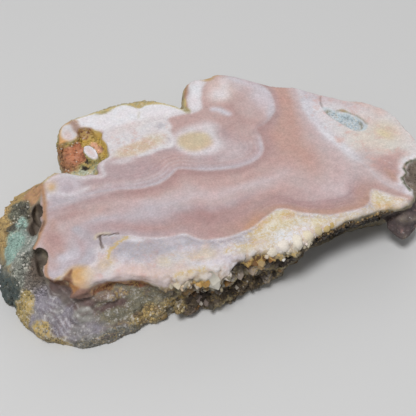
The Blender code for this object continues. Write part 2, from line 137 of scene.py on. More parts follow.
def curve(route, closed=False):
    """A smooth Catmull-Rom line through a route's points."""
    points = np.reshape(route, (-1, 2)).astype(float)
    if closed:
        padded = np.vstack([points[-1:], points, points[:2]])
    else:
        padded = np.vstack([2 * points[0] - points[1], points, 2 * points[-1] - points[-2]])
    before, start, end, after = padded[:-3], padded[1:-2], padded[2:-1], padded[3:]
    steps = np.linspace(0, 1, CURVE_STEPS, endpoint=False)[:, None, None]
    line = 0.5 * (
        2 * start
        + (end - before) * steps
        + (2 * before - 5 * start + 4 * end - after) * steps**2
        + (3 * start - before - 3 * end + after) * steps**3
    )
    line = line.transpose(1, 0, 2).reshape(-1, 2)
    return np.vstack([line, line[:1] if closed else points[-1:]])


def distance_to(points, line):
    """Distance from each 2-D point to a line of short straight pieces."""
    nearest = np.full(len(points), np.inf)
    for start, end in zip(line, line[1:]):
        along = end - start
        share = np.clip((points - start) @ along / max(along @ along, 1e-12), 0, 1)
        gap = points - start - share[:, None] * along
        nearest = np.minimum(nearest, (gap * gap).sum(axis=1))
    return np.sqrt(nearest)


def is_inside(points, line):
    """Whether each 2-D point is inside a closed line."""
    inside = np.zeros(len(points), bool)
    for (x0, y0), (x1, y1) in zip(line, line[1:]):
        crosses = (y0 > points[:, 1]) != (y1 > points[:, 1])
        if y0 != y1:
            inside ^= crosses & (points[:, 0] < (x1 - x0) * (points[:, 1] - y0) / (y1 - y0) + x0)
    return inside


def faded(distance, soft):
    """1 where the signed distance is well below 0, 0 where it is well above, over soft each side."""
    share = np.clip(0.5 - distance / (2 * soft), 0, 1)
    return share * share * (3 - 2 * share)


def between(values, low, low_soft, high, high_soft):
    """1 between two values and 0 outside them."""
    return faded(low - values, low_soft) * faded(values - high, high_soft)


def lay(base, layer, mask):
    """The base with a layer over it as far as the mask goes."""
    return base + (layer - base) * mask[:, None]


def near(points, line, margin):
    """The rows of the points in the line's box, widened by a margin."""
    low, high = line.min(axis=0) - margin, line.max(axis=0) + margin
    return np.flatnonzero(((points > low) & (points < high)).all(axis=1))


def patch_mask(points, outline, soft):
    """1 inside a closed outline and 0 outside it."""
    line = curve(outline, closed=True)
    mask = np.zeros(len(points))
    rows = near(points, line, soft)
    gap = distance_to(points[rows], line)
    mask[rows] = faded(np.where(is_inside(points[rows], line), -gap, gap), soft)
    return mask


def stroke_mask(points, route, half_width, soft):
    """1 along an open route and 0 away from it."""
    line = curve(route)
    mask = np.zeros(len(points))
    rows = near(points, line, half_width + soft)
    mask[rows] = faded(distance_to(points[rows], line) - half_width, soft)
    return mask


def spot_mask(points, centre, radii, turn, soft):
    """1 inside a turned ellipse and 0 outside it, with soft as a share of its radius."""
    angle = np.radians(turn)
    across = points - np.array(centre)
    u = across @ (np.cos(angle), np.sin(angle)) / radii[0]
    v = across @ (-np.sin(angle), np.cos(angle)) / radii[1]
    return faded(np.hypot(u, v) - 1, soft)


def ball_mask(points, centre, radii, soft):
    """1 inside an upright ellipsoid and 0 outside it, with soft as a share of its radius."""
    return faded(np.linalg.norm((points - centre) / radii, axis=1) - 1, soft)


# ---- palette, as 8-bit sRGB ----
PALE = (197, 178, 180)
PALE_ROSE = (191, 168, 167)
ROSE = (187, 157, 153)
DEEP_ROSE = (176, 144, 141)
DARK_ROSE = (167, 134, 132)
SALMON = (187, 150, 140)
CORAL = (179, 143, 129)
MAUVE = (177, 154, 156)
LAVENDER = (185, 174, 180)
LILAC = (190, 179, 186)
PEARL = (202, 196, 204)
WHITE = (224, 221, 226)
CHALK = (210, 204, 207)
CREAM = (211, 200, 188)
WHEAT = (207, 189, 170)
TAN = (200, 181, 151)
BLUSH = (208, 184, 178)
OCHRE = (186, 150, 92)
RUST = (158, 104, 76)
OLIVE = (150, 134, 84)
ASH = (172, 167, 175)
VUG_BLUE = (188, 200, 207)
HAZE = (174, 165, 172)
GOLD = (203, 156, 98)
COPPER = (166, 116, 72)
BACK_CRUST = (192, 182, 130)
# Olive of the vug's rim, partly its own colour and partly painted shade of its walls.
VUG_RIM_SHADE = (132, 130, 112)
MATRIX_RIM = (70, 74, 50)
WARM_TAN = (200, 176, 150)
GREY_LINE = (152, 140, 148)
FLOW_LINE = (158, 122, 124)
THIN_MAUVE = (162, 134, 138)
CLAY = (164, 134, 122)
YELLOW = (216, 200, 150)
ORANGE = (204, 152, 106)
CRACK = (58, 40, 30)
NOTCH_RUST = (112, 72, 50)
PALE_QUARTZ = (203, 188, 188)
# The kinds of fine marking that the stone's shader scatters.
MARKINGS = ("stain", "frost", "soot", "bloom")
STAIN, FROST, SOOT, BLOOM = range(len(MARKINGS))

# ---- the boundaries of the cut face ----
# Where the banding ends at the front quartz, at the lobes behind it and at the pale band on the right.
FRONT = (
    -52, -8.4, -43, -8.3, -38.6, -7.2, -35.8, -4.6, -34.4, -1.4, -33.4, 0.8, -30, 0.5, -25, -1.8, -20, -4.3,
    -15, -6.3, -9.2, -7.4, -7, -9.2, -4.4, -11.8, 0, -13.3, 6, -13.6, 12, -12.6, 17, -10.6, 21.8, -9.3,
    25.4, -10.8, 29, -13.7, 34, -16.3, 40, -17.8, 46, -18, 50.2, -16.4, 52, -13.3, 53.6, -12.2,
    55.4, -14, 58, -17, 61.5, -20,
)
LOBES = (
    -52, 17, -45, 17.6, -38, 18.8, -30, 18.9, -24, 18, -16, 15.7, -10, 15.3, -5.6, 16.4, -2.8, 18,
    -0.4, 19.2, 2.2, 18.1, 6.4, 16, 12, 13.9, 18, 12.9, 23.4, 13.4, 27.6, 15.7, 30, 19.4, 30.6, 23.6,
    31.2, 26.8, 34.4, 28.2, 38.2, 31.2, 41.2, 35.6, 42.9, 41, 42.2, 46.4, 39.2, 52, 34.6, 57.4, 30, 61,
)
RIGHT = (
    53.5, 46, 51.8, 40, 50.8, 35, 49.8, 29, 49.8, 23, 50.8, 17, 51.8, 10, 53.2, 4.2, 55.4, 0.6, 56.6, -3,
    57.2, -8, 58.8, -12.6, 61.4, -16.2, 64.5, -19.5,
)
LEFT_OF_ALL, RIGHT_OF_ALL, FRONT_OF_ALL, BACK_OF_ALL = -90, 100, -60, 90

# Colours of the bands between the lobes and the front boundary: for each place along the slab, how far
# across each colour comes.
BANDS = (
    (-42, ((0, LAVENDER), (0.1, MAUVE), (0.22, PALE_ROSE), (0.5, PALE_ROSE), (0.75, LAVENDER), (1, LILAC))),
    (-30, ((0, LAVENDER), (0.12, MAUVE), (0.27, ROSE), (0.38, ROSE), (0.49, PALE_ROSE), (0.6, LAVENDER),
        (0.75, MAUVE), (0.86, MAUVE), (1, LAVENDER))),
    (-15, ((0, DEEP_ROSE), (0.09, DEEP_ROSE), (0.17, ROSE), (0.27, PALE), (0.4, LAVENDER), (0.55, LAVENDER),
        (0.7, MAUVE), (0.8, DEEP_ROSE), (0.93, MAUVE), (1, PALE_ROSE))),
    (0, ((0, DARK_ROSE), (0.07, DEEP_ROSE), (0.16, ROSE), (0.26, PALE_ROSE), (0.4, PALE), (0.47, PALE_ROSE),
        (0.56, MAUVE), (0.65, DARK_ROSE), (0.73, DARK_ROSE), (0.82, DEEP_ROSE), (0.93, DEEP_ROSE),
        (1, ROSE))),
    (14, ((0, DARK_ROSE), (0.06, DEEP_ROSE), (0.16, ROSE), (0.26, ROSE), (0.37, PALE), (0.47, PALE_ROSE),
        (0.56, MAUVE), (0.65, DEEP_ROSE), (0.77, DEEP_ROSE), (0.88, CORAL), (1, CORAL))),
    (24, ((0, DARK_ROSE), (0.05, DEEP_ROSE), (0.14, ROSE), (0.25, ROSE), (0.4, PALE), (0.52, PALE_ROSE),
        (0.62, ROSE), (0.73, DEEP_ROSE), (0.86, DEEP_ROSE), (0.95, CORAL), (1, CORAL))),
    (42, ((0, DARK_ROSE), (0.12, DEEP_ROSE), (0.3, ROSE), (0.45, ROSE), (0.58, PALE_ROSE), (0.68, PALE),
        (0.78, PALE), (0.83, MAUVE), (0.88, DEEP_ROSE), (0.97, CORAL), (1, CORAL))),
)
# The same from the lobes towards the right boundary.
TRUNK = ((0, DARK_ROSE), (0.12, DEEP_ROSE), (0.28, SALMON), (0.55, SALMON), (0.8, PALE_ROSE), (1, PALE))
# And inside the lobes, by millimetres from their boundary.
LOBE_RINGS = (
    (0, PALE_ROSE), (0.8, LAVENDER), (2, MAUVE), (3.4, PALE_ROSE), (5.5, MAUVE), (11, MAUVE), (20, ROSE),
)


def ramp(values, stops):
    """The colour at each value, between stops that pair a value with a colour."""
    places = [place for place, _ in stops]
    return np.stack([np.interp(values, places, [colour[i] for _, colour in stops]) for i in range(3)], axis=1)


def band_colour(across, x):
    """The bands' colour at a share of the way across, with the ramps blended along the slab."""
    spot = np.interp(x, [place for place, _ in BANDS], range(len(BANDS)))
    left = np.minimum(spot.astype(int), len(BANDS) - 2)
    share = (spot - left)[:, None]
    stack = np.stack([ramp(across, stops) for _, stops in BANDS])
    rows = np.arange(len(x))
    return stack[left, rows] * (1 - share) + stack[left + 1, rows] * share


class Canvas:
    """Colours and amounts of markings at the stone's points, painted over one layer at a time."""

    def __init__(self, points):
        self.points = points
        self.colour = np.zeros((len(points), 3))
        self.marks = np.zeros((len(points), len(MARKINGS)))

    def mark(self, kind, amount, mask):
        """Raises how much of a kind of marking there is where the mask is."""
        self.marks[:, kind] = np.maximum(self.marks[:, kind], amount * mask)

    def cover(self, colour, mask):
        """Lays a colour over what is there, as far as the mask goes."""
        self.colour = lay(self.colour, np.asarray(colour, float), mask)

    def patch(self, colour, soft, strength, *outline):
        """Covers the inside of a closed outline."""
        self.cover(colour, strength * patch_mask(self.points, outline, soft))

    def stroke(self, colour, half_width, soft, strength, *route):
        """Draws a line along an open route."""
        self.cover(colour, strength * stroke_mask(self.points, route, half_width, soft))

    def spot(self, colour, x, y, half_length, half_width, strength, soft=0.8, turn=0):
        """Covers an ellipse turned by degrees, with soft as a share of its radius."""
        self.cover(colour, strength * spot_mask(self.points, (x, y), (half_length, half_width), turn, soft))


def parted(xy, boundary, *corners):
    """Distances to a boundary, and which points lie beyond it, towards corners far outside the stone."""
    line = curve(boundary)
    return distance_to(xy, line), is_inside(xy, np.vstack([line, np.reshape(corners, (-1, 2)), line[:1]]))


# How the lines of the cut waver: by how many millimetres, over which size, and the noise's seeds.
WAVERS = ((0.5, 9, (1, 2)), (0.12, 2.2, (3, 4)))
# How strongly the cut is mottled, and how far its red, green and blue drift between warm and cool.
MOTTLE, WARMTH = 0.03, (0.012, -0.016, -0.018)


def paint_cut_face(xyz):
    """The colours and markings of the polished cut."""
    xy = xyz[:, :2]
    for reach, size, seeds in WAVERS:
        xy = xy + reach * noise_vectors(xyz, size, 2, seeds)
    x = xy[:, 0]
    lobe_gap, in_lobes = parted(
        xy, LOBES, LOBES[-2], BACK_OF_ALL, LEFT_OF_ALL, BACK_OF_ALL, LEFT_OF_ALL, LOBES[1]
    )
    front_gap, in_quartz = parted(
        xy, FRONT, RIGHT_OF_ALL, FRONT_OF_ALL, LEFT_OF_ALL, FRONT_OF_ALL, LEFT_OF_ALL, FRONT[1]
    )
    right_gap, in_right = parted(
        xy, RIGHT, RIGHT_OF_ALL, RIGHT[-1], RIGHT_OF_ALL, BACK_OF_ALL, RIGHT[0], BACK_OF_ALL
    )
    canvas = Canvas(xy)

    wall_gap = 1 / (1 / (front_gap + 0.1) ** 3 + 1 / (right_gap + 0.1) ** 3) ** (1 / 3)
    across = lobe_gap / (lobe_gap + wall_gap)
    to_front = lobe_gap / (lobe_gap + front_gap)
    to_right = faded(right_gap - 0.75 * front_gap, 9)
    canvas.colour = band_colour(across * 0.6 + to_front * 0.4, x)
    canvas.cover(ramp(across, TRUNK), to_right * faded(20 - x, 14))
    canvas.cover(ramp(lobe_gap, LOBE_RINGS), faded(np.where(in_lobes, -lobe_gap, lobe_gap), 0.35))
    paint_left(canvas)
    paint_lobes(canvas)
    paint_flow(canvas, lobe_gap, front_gap, in_lobes, in_quartz)
    paint_right(canvas, in_right & ~in_quartz, right_gap)
    paint_quartz_zone(canvas, xyz, in_quartz, front_gap)
    paint_back(canvas)
    paint_edges(canvas)
    mottle = layered_noise(xyz, 2.4, 3, 15)
    warmth = layered_noise(xyz, 5, 3, 16)
    canvas.colour *= (1 + MOTTLE * mottle)[:, None] + np.outer(warmth, WARMTH)
    return canvas


# Lines round the front boundary: millimetres from it, colour, strength.
FRONT_LINES = ((2.3, FLOW_LINE, 0.35), (3.5, FLOW_LINE, 0.75), (4.7, FLOW_LINE, 0.35), (2.9, PALE, 0.35))
# The thin lines inside the lobes: millimetres from their boundary, colour.
THIN_RINGS = (
    (1, PEARL), (1.9, MAUVE), (2.6, PEARL), (3.4, THIN_MAUVE), (4.2, PEARL), (5, THIN_MAUVE),
    (5.8, LILAC), (6.6, THIN_MAUVE), (7.4, LILAC), (8.2, MAUVE),
)
# Single dark lines of the banding near the front: strength, route.
FLOW_ROUTES = (
    (0.6, 22.1, -3.7, 25.4, -4.1, 28, -6.6, 29.6, -10, 32.4, -12, 35.1, -13.6, 39, -14.7),
    (0.5, 24.2, -5, 28.4, -8.1, 31.9, -9.5, 35.8, -10.7, 40.4, -12, 44.9, -11.5, 49.4, -9),
)


def flat_points(xy):
    """Points of the plane as points of space, for the noise."""
    return np.column_stack([xy, 0 * xy[:, 0]])


def paint_flow(canvas, lobe_gap, front_gap, in_lobes, in_quartz):
    """Thin lines that follow the boundaries where the banding is finest."""
    x, y = canvas.points.T
    above = ~in_quartz * between(x, 16, 4, 47, 3)
    for gap, colour, strength in FRONT_LINES:
        canvas.cover(colour, strength * above * faded(np.abs(front_gap - gap) - 0.1, 0.4))
    for strength, *route in FLOW_ROUTES:
        canvas.stroke(FLOW_LINE, 0.15, 0.6, strength, *route)
    along = between(x, -16, 3, 4, 3) + 0.6 * faded(4 - x, 3)
    inside = in_lobes * along * patchy_noise(flat_points(canvas.points), 7, 19, 0.6) * faded(y - 30, 4)
    for gap, colour in THIN_RINGS:
        canvas.cover(colour, 0.85 * inside * faded(np.abs(lobe_gap - gap) - 0.05, 0.35))


def paint_left(canvas):
    """The eyes and lines of the left end."""
    spot, stroke = canvas.spot, canvas.stroke
    stroke(CORAL, 1, 1.2, 0.55, -48.4, -1, -48.8, 4, -47.6, 8)
    stroke(CORAL, 1, 1.2, 0.55, -46, 0.6, -46.4, 5, -45.2, 9, -44.4, 12.4)
    stroke(LILAC, 0.7, 1, 0.6, -50, 13, -44.5, 15.5, -39, 17.6)
    stroke(PEARL, 0.6, 1.3, 0.3, -47.5, 19, -42, 19.6, -36, 20.4, -30, 20.3, -24, 21.4)
    spot(DEEP_ROSE, -46.2, 5.2, 2.4, 4.4, 1)
    spot(ROSE, -49.6, -3.6, 2.2, 2, 0.6)
    spot(DEEP_ROSE, -39.6, 13.2, 5, 1.6, 0.8, 0.8, 8)
    spot(MAUVE, -36.4, 3.2, 2.4, 3.2, 0.8)
    spot(PEARL, -44.2, -2.4, 3.2, 1.5, 0.7, 0.7, 10)
    spot(LILAC, -39.4, -3.4, 3, 3, 0.7, 0.7)
    stroke(LAVENDER, 1.2, 1.2, 0.7, -38.6, 6, -37.4, 1, -37.6, -4, -40.6, -6.6)
    stroke(MAUVE, 0.7, 0.9, 0.5, -40.6, 8, -39.6, 2, -39.8, -3, -43, -5.6)
    spot(LAVENDER, -38.4, 22.6, 6, 3.2, 0.85, 0.7, -12)
    spot(PEARL, -35.8, 26.6, 4.2, 4.2, 0.7, 0.5)
    spot(LAVENDER, -36.4, 25.3, 2.3, 2.5, 0.9, 0.4)
    spot(ASH, -36.4, 25.3, 1.1, 1.3, 0.5, 0.6)
    spot(LAVENDER, -40.7, 21.2, 2.4, 2.2, 0.9, 0.5)
    spot(ASH, -40.7, 21.2, 1.2, 1.1, 0.35, 0.6)
    stroke(WHITE, 0.7, 1.4, 0.6, -43.6, 22.6, -41.4, 24.6, -38.4, 22.8, -34.4, 21.6, -30.6, 22.8)
    spot(WHEAT, -41, 27.6, 2.2, 3, 0.8, 0.6, -20)
    spot(GOLD, -40.6, 27, 0.9, 1.4, 0.5, 0.8, -30)
    stroke(ASH, 1, 1.6, 0.6, -38.6, 6.8, -36.5, 5.4, -35.5, 2.6, -35.6, -0.2, -37.1, -3.1,
        -39.7, -5.4, -42.5, -6.4)
    stroke(PEARL, 0.6, 1, 0.6, -46.1, -2.2, -44, -3.2, -42.1, -3.4)
    canvas.mark(FROST, 0.25, spot_mask(canvas.points, (-39, 20), (8, 6), -12, 0.6))
    stroke(CHALK, 0.8, 1, 0.85, -41, 30.6, -36, 30.9, -33, 29.6, -30.4, 27.3, -27, 26.6, -24.2, 25.8,
        -23.6, 28.6, -22.4, 31.4, -19, 32.9)


def paint_lobes(canvas):
    """The pale lines round the lobes and the white, tan and deep rose fields inside them."""
    spot, stroke, patch = canvas.spot, canvas.stroke, canvas.patch
    stroke(LILAC, 1, 1.4, 0.5, -24, 20.8, -16, 18.4, -10, 18, -6, 19.2, -2.6, 22)
    stroke(MAUVE, 2.6, 2.2, 0.45, 5, 20, 12, 17.4, 18, 16.2, 23, 17.2, 26.4, 20.6, 27.2, 25)
    stroke(LILAC, 0.8, 1.5, 0.7, 6, 17.4, 12, 15, 18, 13.9, 23, 14.4, 27, 16.8, 29, 20.6, 29.2, 25)
    stroke(DEEP_ROSE, 1, 1.8, 0.6, -46, 15.6, -38, 16.6, -28, 16.6, -18, 14, -11, 13.4, -5, 14.6)
    stroke(DARK_ROSE, 0.5, 1.3, 0.65, -24, 16.8, -16, 14.6, -10, 14.2, -5, 15.4, -0.4, 18, 6, 14.8,
        12, 12.4, 18, 11.4, 24, 11.8)
    spot(PALE, 18.6, 21.4, 5, 4.4, 0.8, 0.8, 20)
    spot(ROSE, 26.6, 28, 4.4, 5, 0.9)
    spot(ROSE, -0.4, 24.4, 6, 3.2, 1, 0.8, -20)
    patch(ROSE, 1.4, 1, 2.6, 37.2, 5, 43.4, 13, 43.8, 17.4, 45, 19.6, 50, 21.4, 53.6, 24, 57.5, 31, 58.5,
        35.5, 52, 37.5, 44, 35.5, 37, 30.5, 30.5, 25, 29, 20.5, 33, 18, 37, 10, 38, 5, 36.5)
    spot(ROSE, 31.4, 32, 4, 3, 1)
    patch(DEEP_ROSE, 2, 0.6, 20, 31, 24, 30, 30, 32.5, 29, 40, 31, 44, 24, 47, 20.5, 46, 24, 41, 22, 35)
    spot(PALE_ROSE, 35.4, 39.2, 4.8, 6, 0.9, 0.7)
    spot(PALE, 34, 51, 4, 5, 0.9, 0.7, 30)
    stroke(PEARL, 0.9, 2, 0.9, 32.6, 55.6, 37.4, 50.4, 40.4, 45.6, 41, 41, 39.8, 36.4, 37.4, 33)
    spot(PEARL, 38.6, 41.6, 3.2, 5.6, 0.8)
    stroke(DARK_ROSE, 0.8, 1.6, 0.6, 30.6, 25, 32.4, 28, 36, 29.4, 40, 31.6)
    spot(BLUSH, 26.6, 50.4, 5, 6.4, 0.9, 0.6, -20)
    spot(WHITE, 26, 48.9, 2.9, 2.9, 0.75, 0.9)
    spot(WHITE, 29.8, 53.6, 1.8, 3, 0.5, 0.7, -15)
    stroke(PEARL, 1.1, 1.3, 1, 21, 42.6, 22.6, 41.6, 24, 39.4, 25, 38.2)
    spot(DARK_ROSE, 32.2, 26.9, 2.2, 1.2, 0.7)
    patch(CHALK, 2.2, 0.85, 2.4, 31, 3.6, 27, 6.6, 23.6, 11, 21.8, 15.4, 22.6, 17.4, 26, 17.4, 31,
        19, 34.4, 17, 37.2, 11, 37.6, 6, 36.4, 3.2, 34.6)
    stroke(WHITE, 0.8, 1.4, 0.5, 4.2, 29, 5.8, 25.8, 9, 23.8, 13.4, 23.6, 15.6, 26.4)
    patch(TAN, 1.5, 0.95, 4, 30.6, 5.4, 27.2, 8, 25.2, 12.4, 25.6, 14.4, 28, 14.4, 31.6, 12, 33.6, 8, 34.2,
        4.8, 33.4)


def paint_edges(canvas):
    """The stained lines that follow the outline of the cut and of its hollows, and painted shade at the vug's
    rim.
    """
    spot, stroke, patch = canvas.spot, canvas.stroke, canvas.patch
    stroke(COPPER, 0.5, 0.9, 0.9, -43.3, 29, -44.1, 24.6, -44.9, 20.2, -46.4, 16.2, -47, 13.1,
        -49.3, 9.7, -51.5, 6.4, -53.5, 3.9)
    stroke(BACK_CRUST, 0.3, 0.6, 0.9, -42.6, 30, -39.6, 32, -36.4, 32.4, -33.3, 31.4, -30.3, 30)
    stroke(CRACK, 0.3, 0.7, 0.6, -47.2, 13.6, -47.6, 12.2, -49, 10.4)
    stroke(COPPER, 0.35, 0.7, 0.9, -50.5, 1, -50.8, -2, -52.1, -5, -52.4, -7.4, -51.5, -9.6)
    stroke(OCHRE, 0.35, 0.6, 0.8, -51.6, -9.4, -50, -9.4, -48.6, -9.2)
    stroke(RUST, 0.3, 0.6, 0.5, -47.6, -10.6, -46.6, -9.4, -45.4, -8.2)
    spot(GOLD, -43.6, -10.6, 3.4, 3.2, 0.95, 0.6, -20)
    patch(NOTCH_RUST, 0.5, 0.9, -49.4, -11.4, -48, -9.8, -46.6, -9.2, -45, -7.8, -44.6, -8.3, -45.6, -10.4,
        -46.4, -13.4)
    spot(CREAM, -40.4, -11.4, 2.6, 2.4, 0.6, 0.6, -20)
    vug = (56.2, 28.8, 55.9, 27.2, 57.1, 22.6, 59, 17.9, 61.4, 14.4, 64.2, 13.6, 66.2, 15.4, 65.6, 18.6,
        64.2, 21.4, 62.2, 23.8, 60, 25.2, 57.8, 28)
    patch(VUG_BLUE, 0.5, 0.95, *vug)
    canvas.mark(FROST, 0.6, patch_mask(canvas.points, vug, 0.5))
    # The vug's olive rim lines, partly its own colour and partly painted shade of its walls.
    stroke(VUG_RIM_SHADE, 0.2, 0.5, 0.9, 60, 25.6, 62.4, 24.2, 64.4, 21.6, 65.8, 18.8, 66.4, 16.2)
    stroke(VUG_RIM_SHADE, 0.1, 0.4, 0.5, 56, 27, 57.2, 22.6, 59.2, 17.8)
    spot(OLIVE, 62, 24.6, 1.4, 0.6, 0.8, 0.6, -40)
    bay = (73, -4.8, 70, -5.3, 67.9, -6.9, 67.3, -9.5, 65.4, -11.1, 64.4, -14, 64.8, -17)
    ragged = 0.5 * smooth_noise(flat_points(canvas.points), 1.3, 18)
    canvas.cover(MATRIX_RIM, 0.9 * faded(distance_to(canvas.points, curve(bay)) - 0.4 - ragged, 0.5))


def paint_back(canvas):
    """The white quartz at the back, the pillar and tooth beside the pocket, and the crusted rim."""
    spot, stroke, patch = canvas.spot, canvas.stroke, canvas.patch
    white_zone = (-19.6, 33.2, -18.4, 37, -18.4, 43, -17.4, 46, -19, 48, -21.5, 51, -24.5, 52, -27, 54,
        -28, 58, -8, 60, 0, 59, 6, 55, 11, 49, 12.8, 45.8, 12.4, 43.8, 9, 43.9, 5.4, 43.6, 4.8, 40, 3.4, 37,
        3.4, 34, 2.8, 31.2, 1, 29.8, -2, 30.4, -6, 29.4, -10, 29.3, -14, 30.7, -17, 32.3)
    patch(CHALK, 0.9, 1, *white_zone)
    canvas.mark(FROST, 0.5, patch_mask(canvas.points, white_zone, 0.9))
    canvas.mark(BLOOM, 0.5, patch_mask(canvas.points, white_zone, 2) * faded(canvas.points[:, 1] - 44, 3))
    patch(WHITE, 1.6, 0.9, -20, 47, -24, 52, -28, 58, -8, 60, 0, 59, 6, 55, 11.5, 48, 8, 45.5, 0, 46.4,
        -8, 46, -14, 46.6)
    spot(BLUSH, -8, 44.6, 6, 2, 0.35, 0.8, 5)
    spot(TAN, -3.4, 35.4, 4, 2.6, 0.7, 0.7)
    spot(WARM_TAN, -10.2, 33.8, 6.8, 2.8, 0.95, 0.4, 6)
    spot(CHALK, -16.2, 29.8, 4, 1.5, 0.7, 0.6, -8)
    spot(ASH, 1.6, 40.9, 2, 1.4, 0.6, 0.6, 20)
    stroke(ASH, 0.15, 0.4, 0.7, 1.2, 34.6, 1.7, 33.4, 1.5, 32.2)
    patch(GOLD, 0.8, 1, -33.6, 45, -33.6, 54, -26, 57, -24, 53.6, -26.4, 50, -26, 46, -29, 45)
    spot(CLAY, -25.6, 52, 1.7, 3.6, 1, 0.5, -10)
    patch(CHALK, 0.9, 1, -30.8, 47.4, -31, 50.6, -28.6, 53.6, -26.4, 53, -26.6, 50, -26.2, 47,
        -28.6, 45.6)
    spot(BLUSH, -29, 49, 1.2, 2.2, 0.7, 0.7)
    spot(WHITE, -24.3, 38, 4, 5, 1, 0.3)
    spot(BLUSH, -24.3, 38, 1, 2.4, 0.7, 0.9, 10)
    patch(CHALK, 0.8, 1, 12.4, 43.6, 14, 49, 17, 55, 18.5, 60, 23.4, 60, 24, 56.4, 21.6, 53.8,
        20.2, 50, 18.8, 46.6, 17.4, 44, 14.6, 43)
    patch(WHITE, 1, 0.7, 14.6, 45, 16, 50, 19, 56, 21.6, 58, 21.6, 54.8, 19.6, 51, 18, 47, 16.6, 44.8)
    stroke(COPPER, 0.7, 0.9, 0.8, 12.4, 47.4, 13.8, 51.4, 15.6, 55.4, 17.4, 58.4)
    spot(OLIVE, 12.2, 45.6, 1.1, 1.8, 0.9, 0.6, 12)
    spot(OCHRE, 25.4, 58.4, 2.2, 1.6, 0.8, 0.6)
    spot(OCHRE, 29.4, 59, 2.4, 1, 0.7, 0.6)
    scallops = (-31, 57, -26, 55.4, -20.5, 55.6, -16.6, 55, -14.6, 54.2, -12.8, 54.6, -10, 55.6, -6.6, 55.6,
        -4.2, 54, -2.4, 52.6, -0.6, 52.9, 3, 52.3, 6.6, 50.6, 9.4, 48, 11.4, 46.4, 14, 52, 4, 62, -30, 64)
    patch(BACK_CRUST, 0.4, 0.95, *scallops)
    crust = patch_mask(canvas.points, scallops, 0.4)
    canvas.mark(STAIN, 0.5, crust)
    canvas.mark(FROST, 0.4, crust)
    canvas.mark(SOOT, 0.2, crust)
    patch(OLIVE, 0.5, 0.7, -5.4, 55.2, -2.4, 52.5, 0.6, 53.2, 4, 52.4, 4.6, 54, 0, 56, -4, 56.6)
    spot(OLIVE, -14.4, 54.8, 2.4, 0.9, 0.7, 0.6)
    stroke(OLIVE, 0.2, 0.7, 0.4, -3.2, 50.6, -3.9, 49.2, -4.6, 47.8)


def paint_right(canvas, in_right, right_gap):
    """The pale zone of the right end."""
    spot, stroke, patch = canvas.spot, canvas.stroke, canvas.patch
    side = np.where(in_right, -right_gap, right_gap)
    canvas.cover(CHALK, faded(side, 0.9))
    spot(CREAM, 66, 8, 10, 10, 0.9)
    stroke(PEARL, 1.5, 2.2, 0.8, 52, 34, 51.2, 26, 51.2, 19, 52.2, 12.6, 54, 6.6, 55.6, 2.6)
    stroke(WHITE, 0.9, 1.6, 0.6, 51.2, 19, 52.4, 12.6, 54.4, 6.8)
    spot(WHITE, 54.8, 31.6, 2.6, 4.2, 0.8, 0.7)
    stroke(PEARL, 1, 1.5, 0.7, 54.4, 41, 53, 34, 51.6, 28)
    stroke(PALE, 1.5, 2.5, 0.8, 71, 25, 66, 26.6, 62, 30, 58, 34.6)
    spot(BLUSH, 66.4, 19.6, 4, 3, 0.4, 0.8, -50)
    spot(LILAC, 56, 36, 3.6, 5, 0.7, 0.8, 20)
    canvas.mark(BLOOM, 0.45, faded(side, 2))
    canvas.mark(FROST, 0.28, faded(side, 2))
    stroke(BLUSH, 1.6, 1.6, 0.8, 57, 39, 62, 34.5, 67, 29, 71, 24.6)
    spot(BLUSH, 73, 20.4, 3, 2.4, 0.9, 0.8, -50)
    spot(BLUSH, 54, 12.2, 1.4, 1.1, 0.9)
    spot(WHEAT, 71, 10.6, 3.4, 4, 0.9)
    spot(YELLOW, 69.6, 9.4, 1.6, 2.6, 0.45, 0.9, 30)
    stroke(RUST, 0.25, 1, 0.25, 60.4, 34.6, 64.6, 30.6, 68.4, 26.2)
    spot(MAUVE, 58.8, 2, 3.6, 4, 0.5, 0.8, -30)
    patch(ROSE, 2.2, 0.9, 57.8, -2, 60.6, -0.6, 65, 0.4, 70, 0.6, 72, -1, 69.4, -3, 67.4, -5.4, 65.6, -8,
        64, -11, 61.6, -12.6, 59.4, -10, 58, -5)
    spot(DEEP_ROSE, 63.4, -5.6, 3.4, 5, 0.8, 0.9, 24)
    spot(CORAL, 62.4, -8.8, 1.2, 2.8, 0.9, 0.8, 10)
    stroke(WHITE, 0.8, 1, 0.7, 73.4, -3.4, 69.6, -4.2, 67, -6, 66.2, -9, 64.4, -11, 63.6, -14.4, 64, -18)
    spot(PEARL, 62.6, -15.6, 1.8, 2.6, 0.8, 0.6, 20)
    stroke(PALE_ROSE, 1.2, 1.2, 0.7, 56.4, -1, 57.2, -4, 57.8, -8, 59.4, -12.4, 61.6, -15.6)
    stroke(PEARL, 0.15, 0.8, 0.5, 55.6, 0.2, 56.8, -3, 57.4, -8, 59, -12.4, 61.4, -15.6)
    stroke(CRACK, 0.12, 0.45, 0.7, 56.2, 28.2, 56.5, 30.6, 57.2, 32.4, 58.2, 34.6)


# Colours of the quartz by millimetres from the banding.
QUARTZ_BANDS = ((0, LAVENDER), (1.6, HAZE), (6, LAVENDER), (9, PEARL), (14, CREAM))
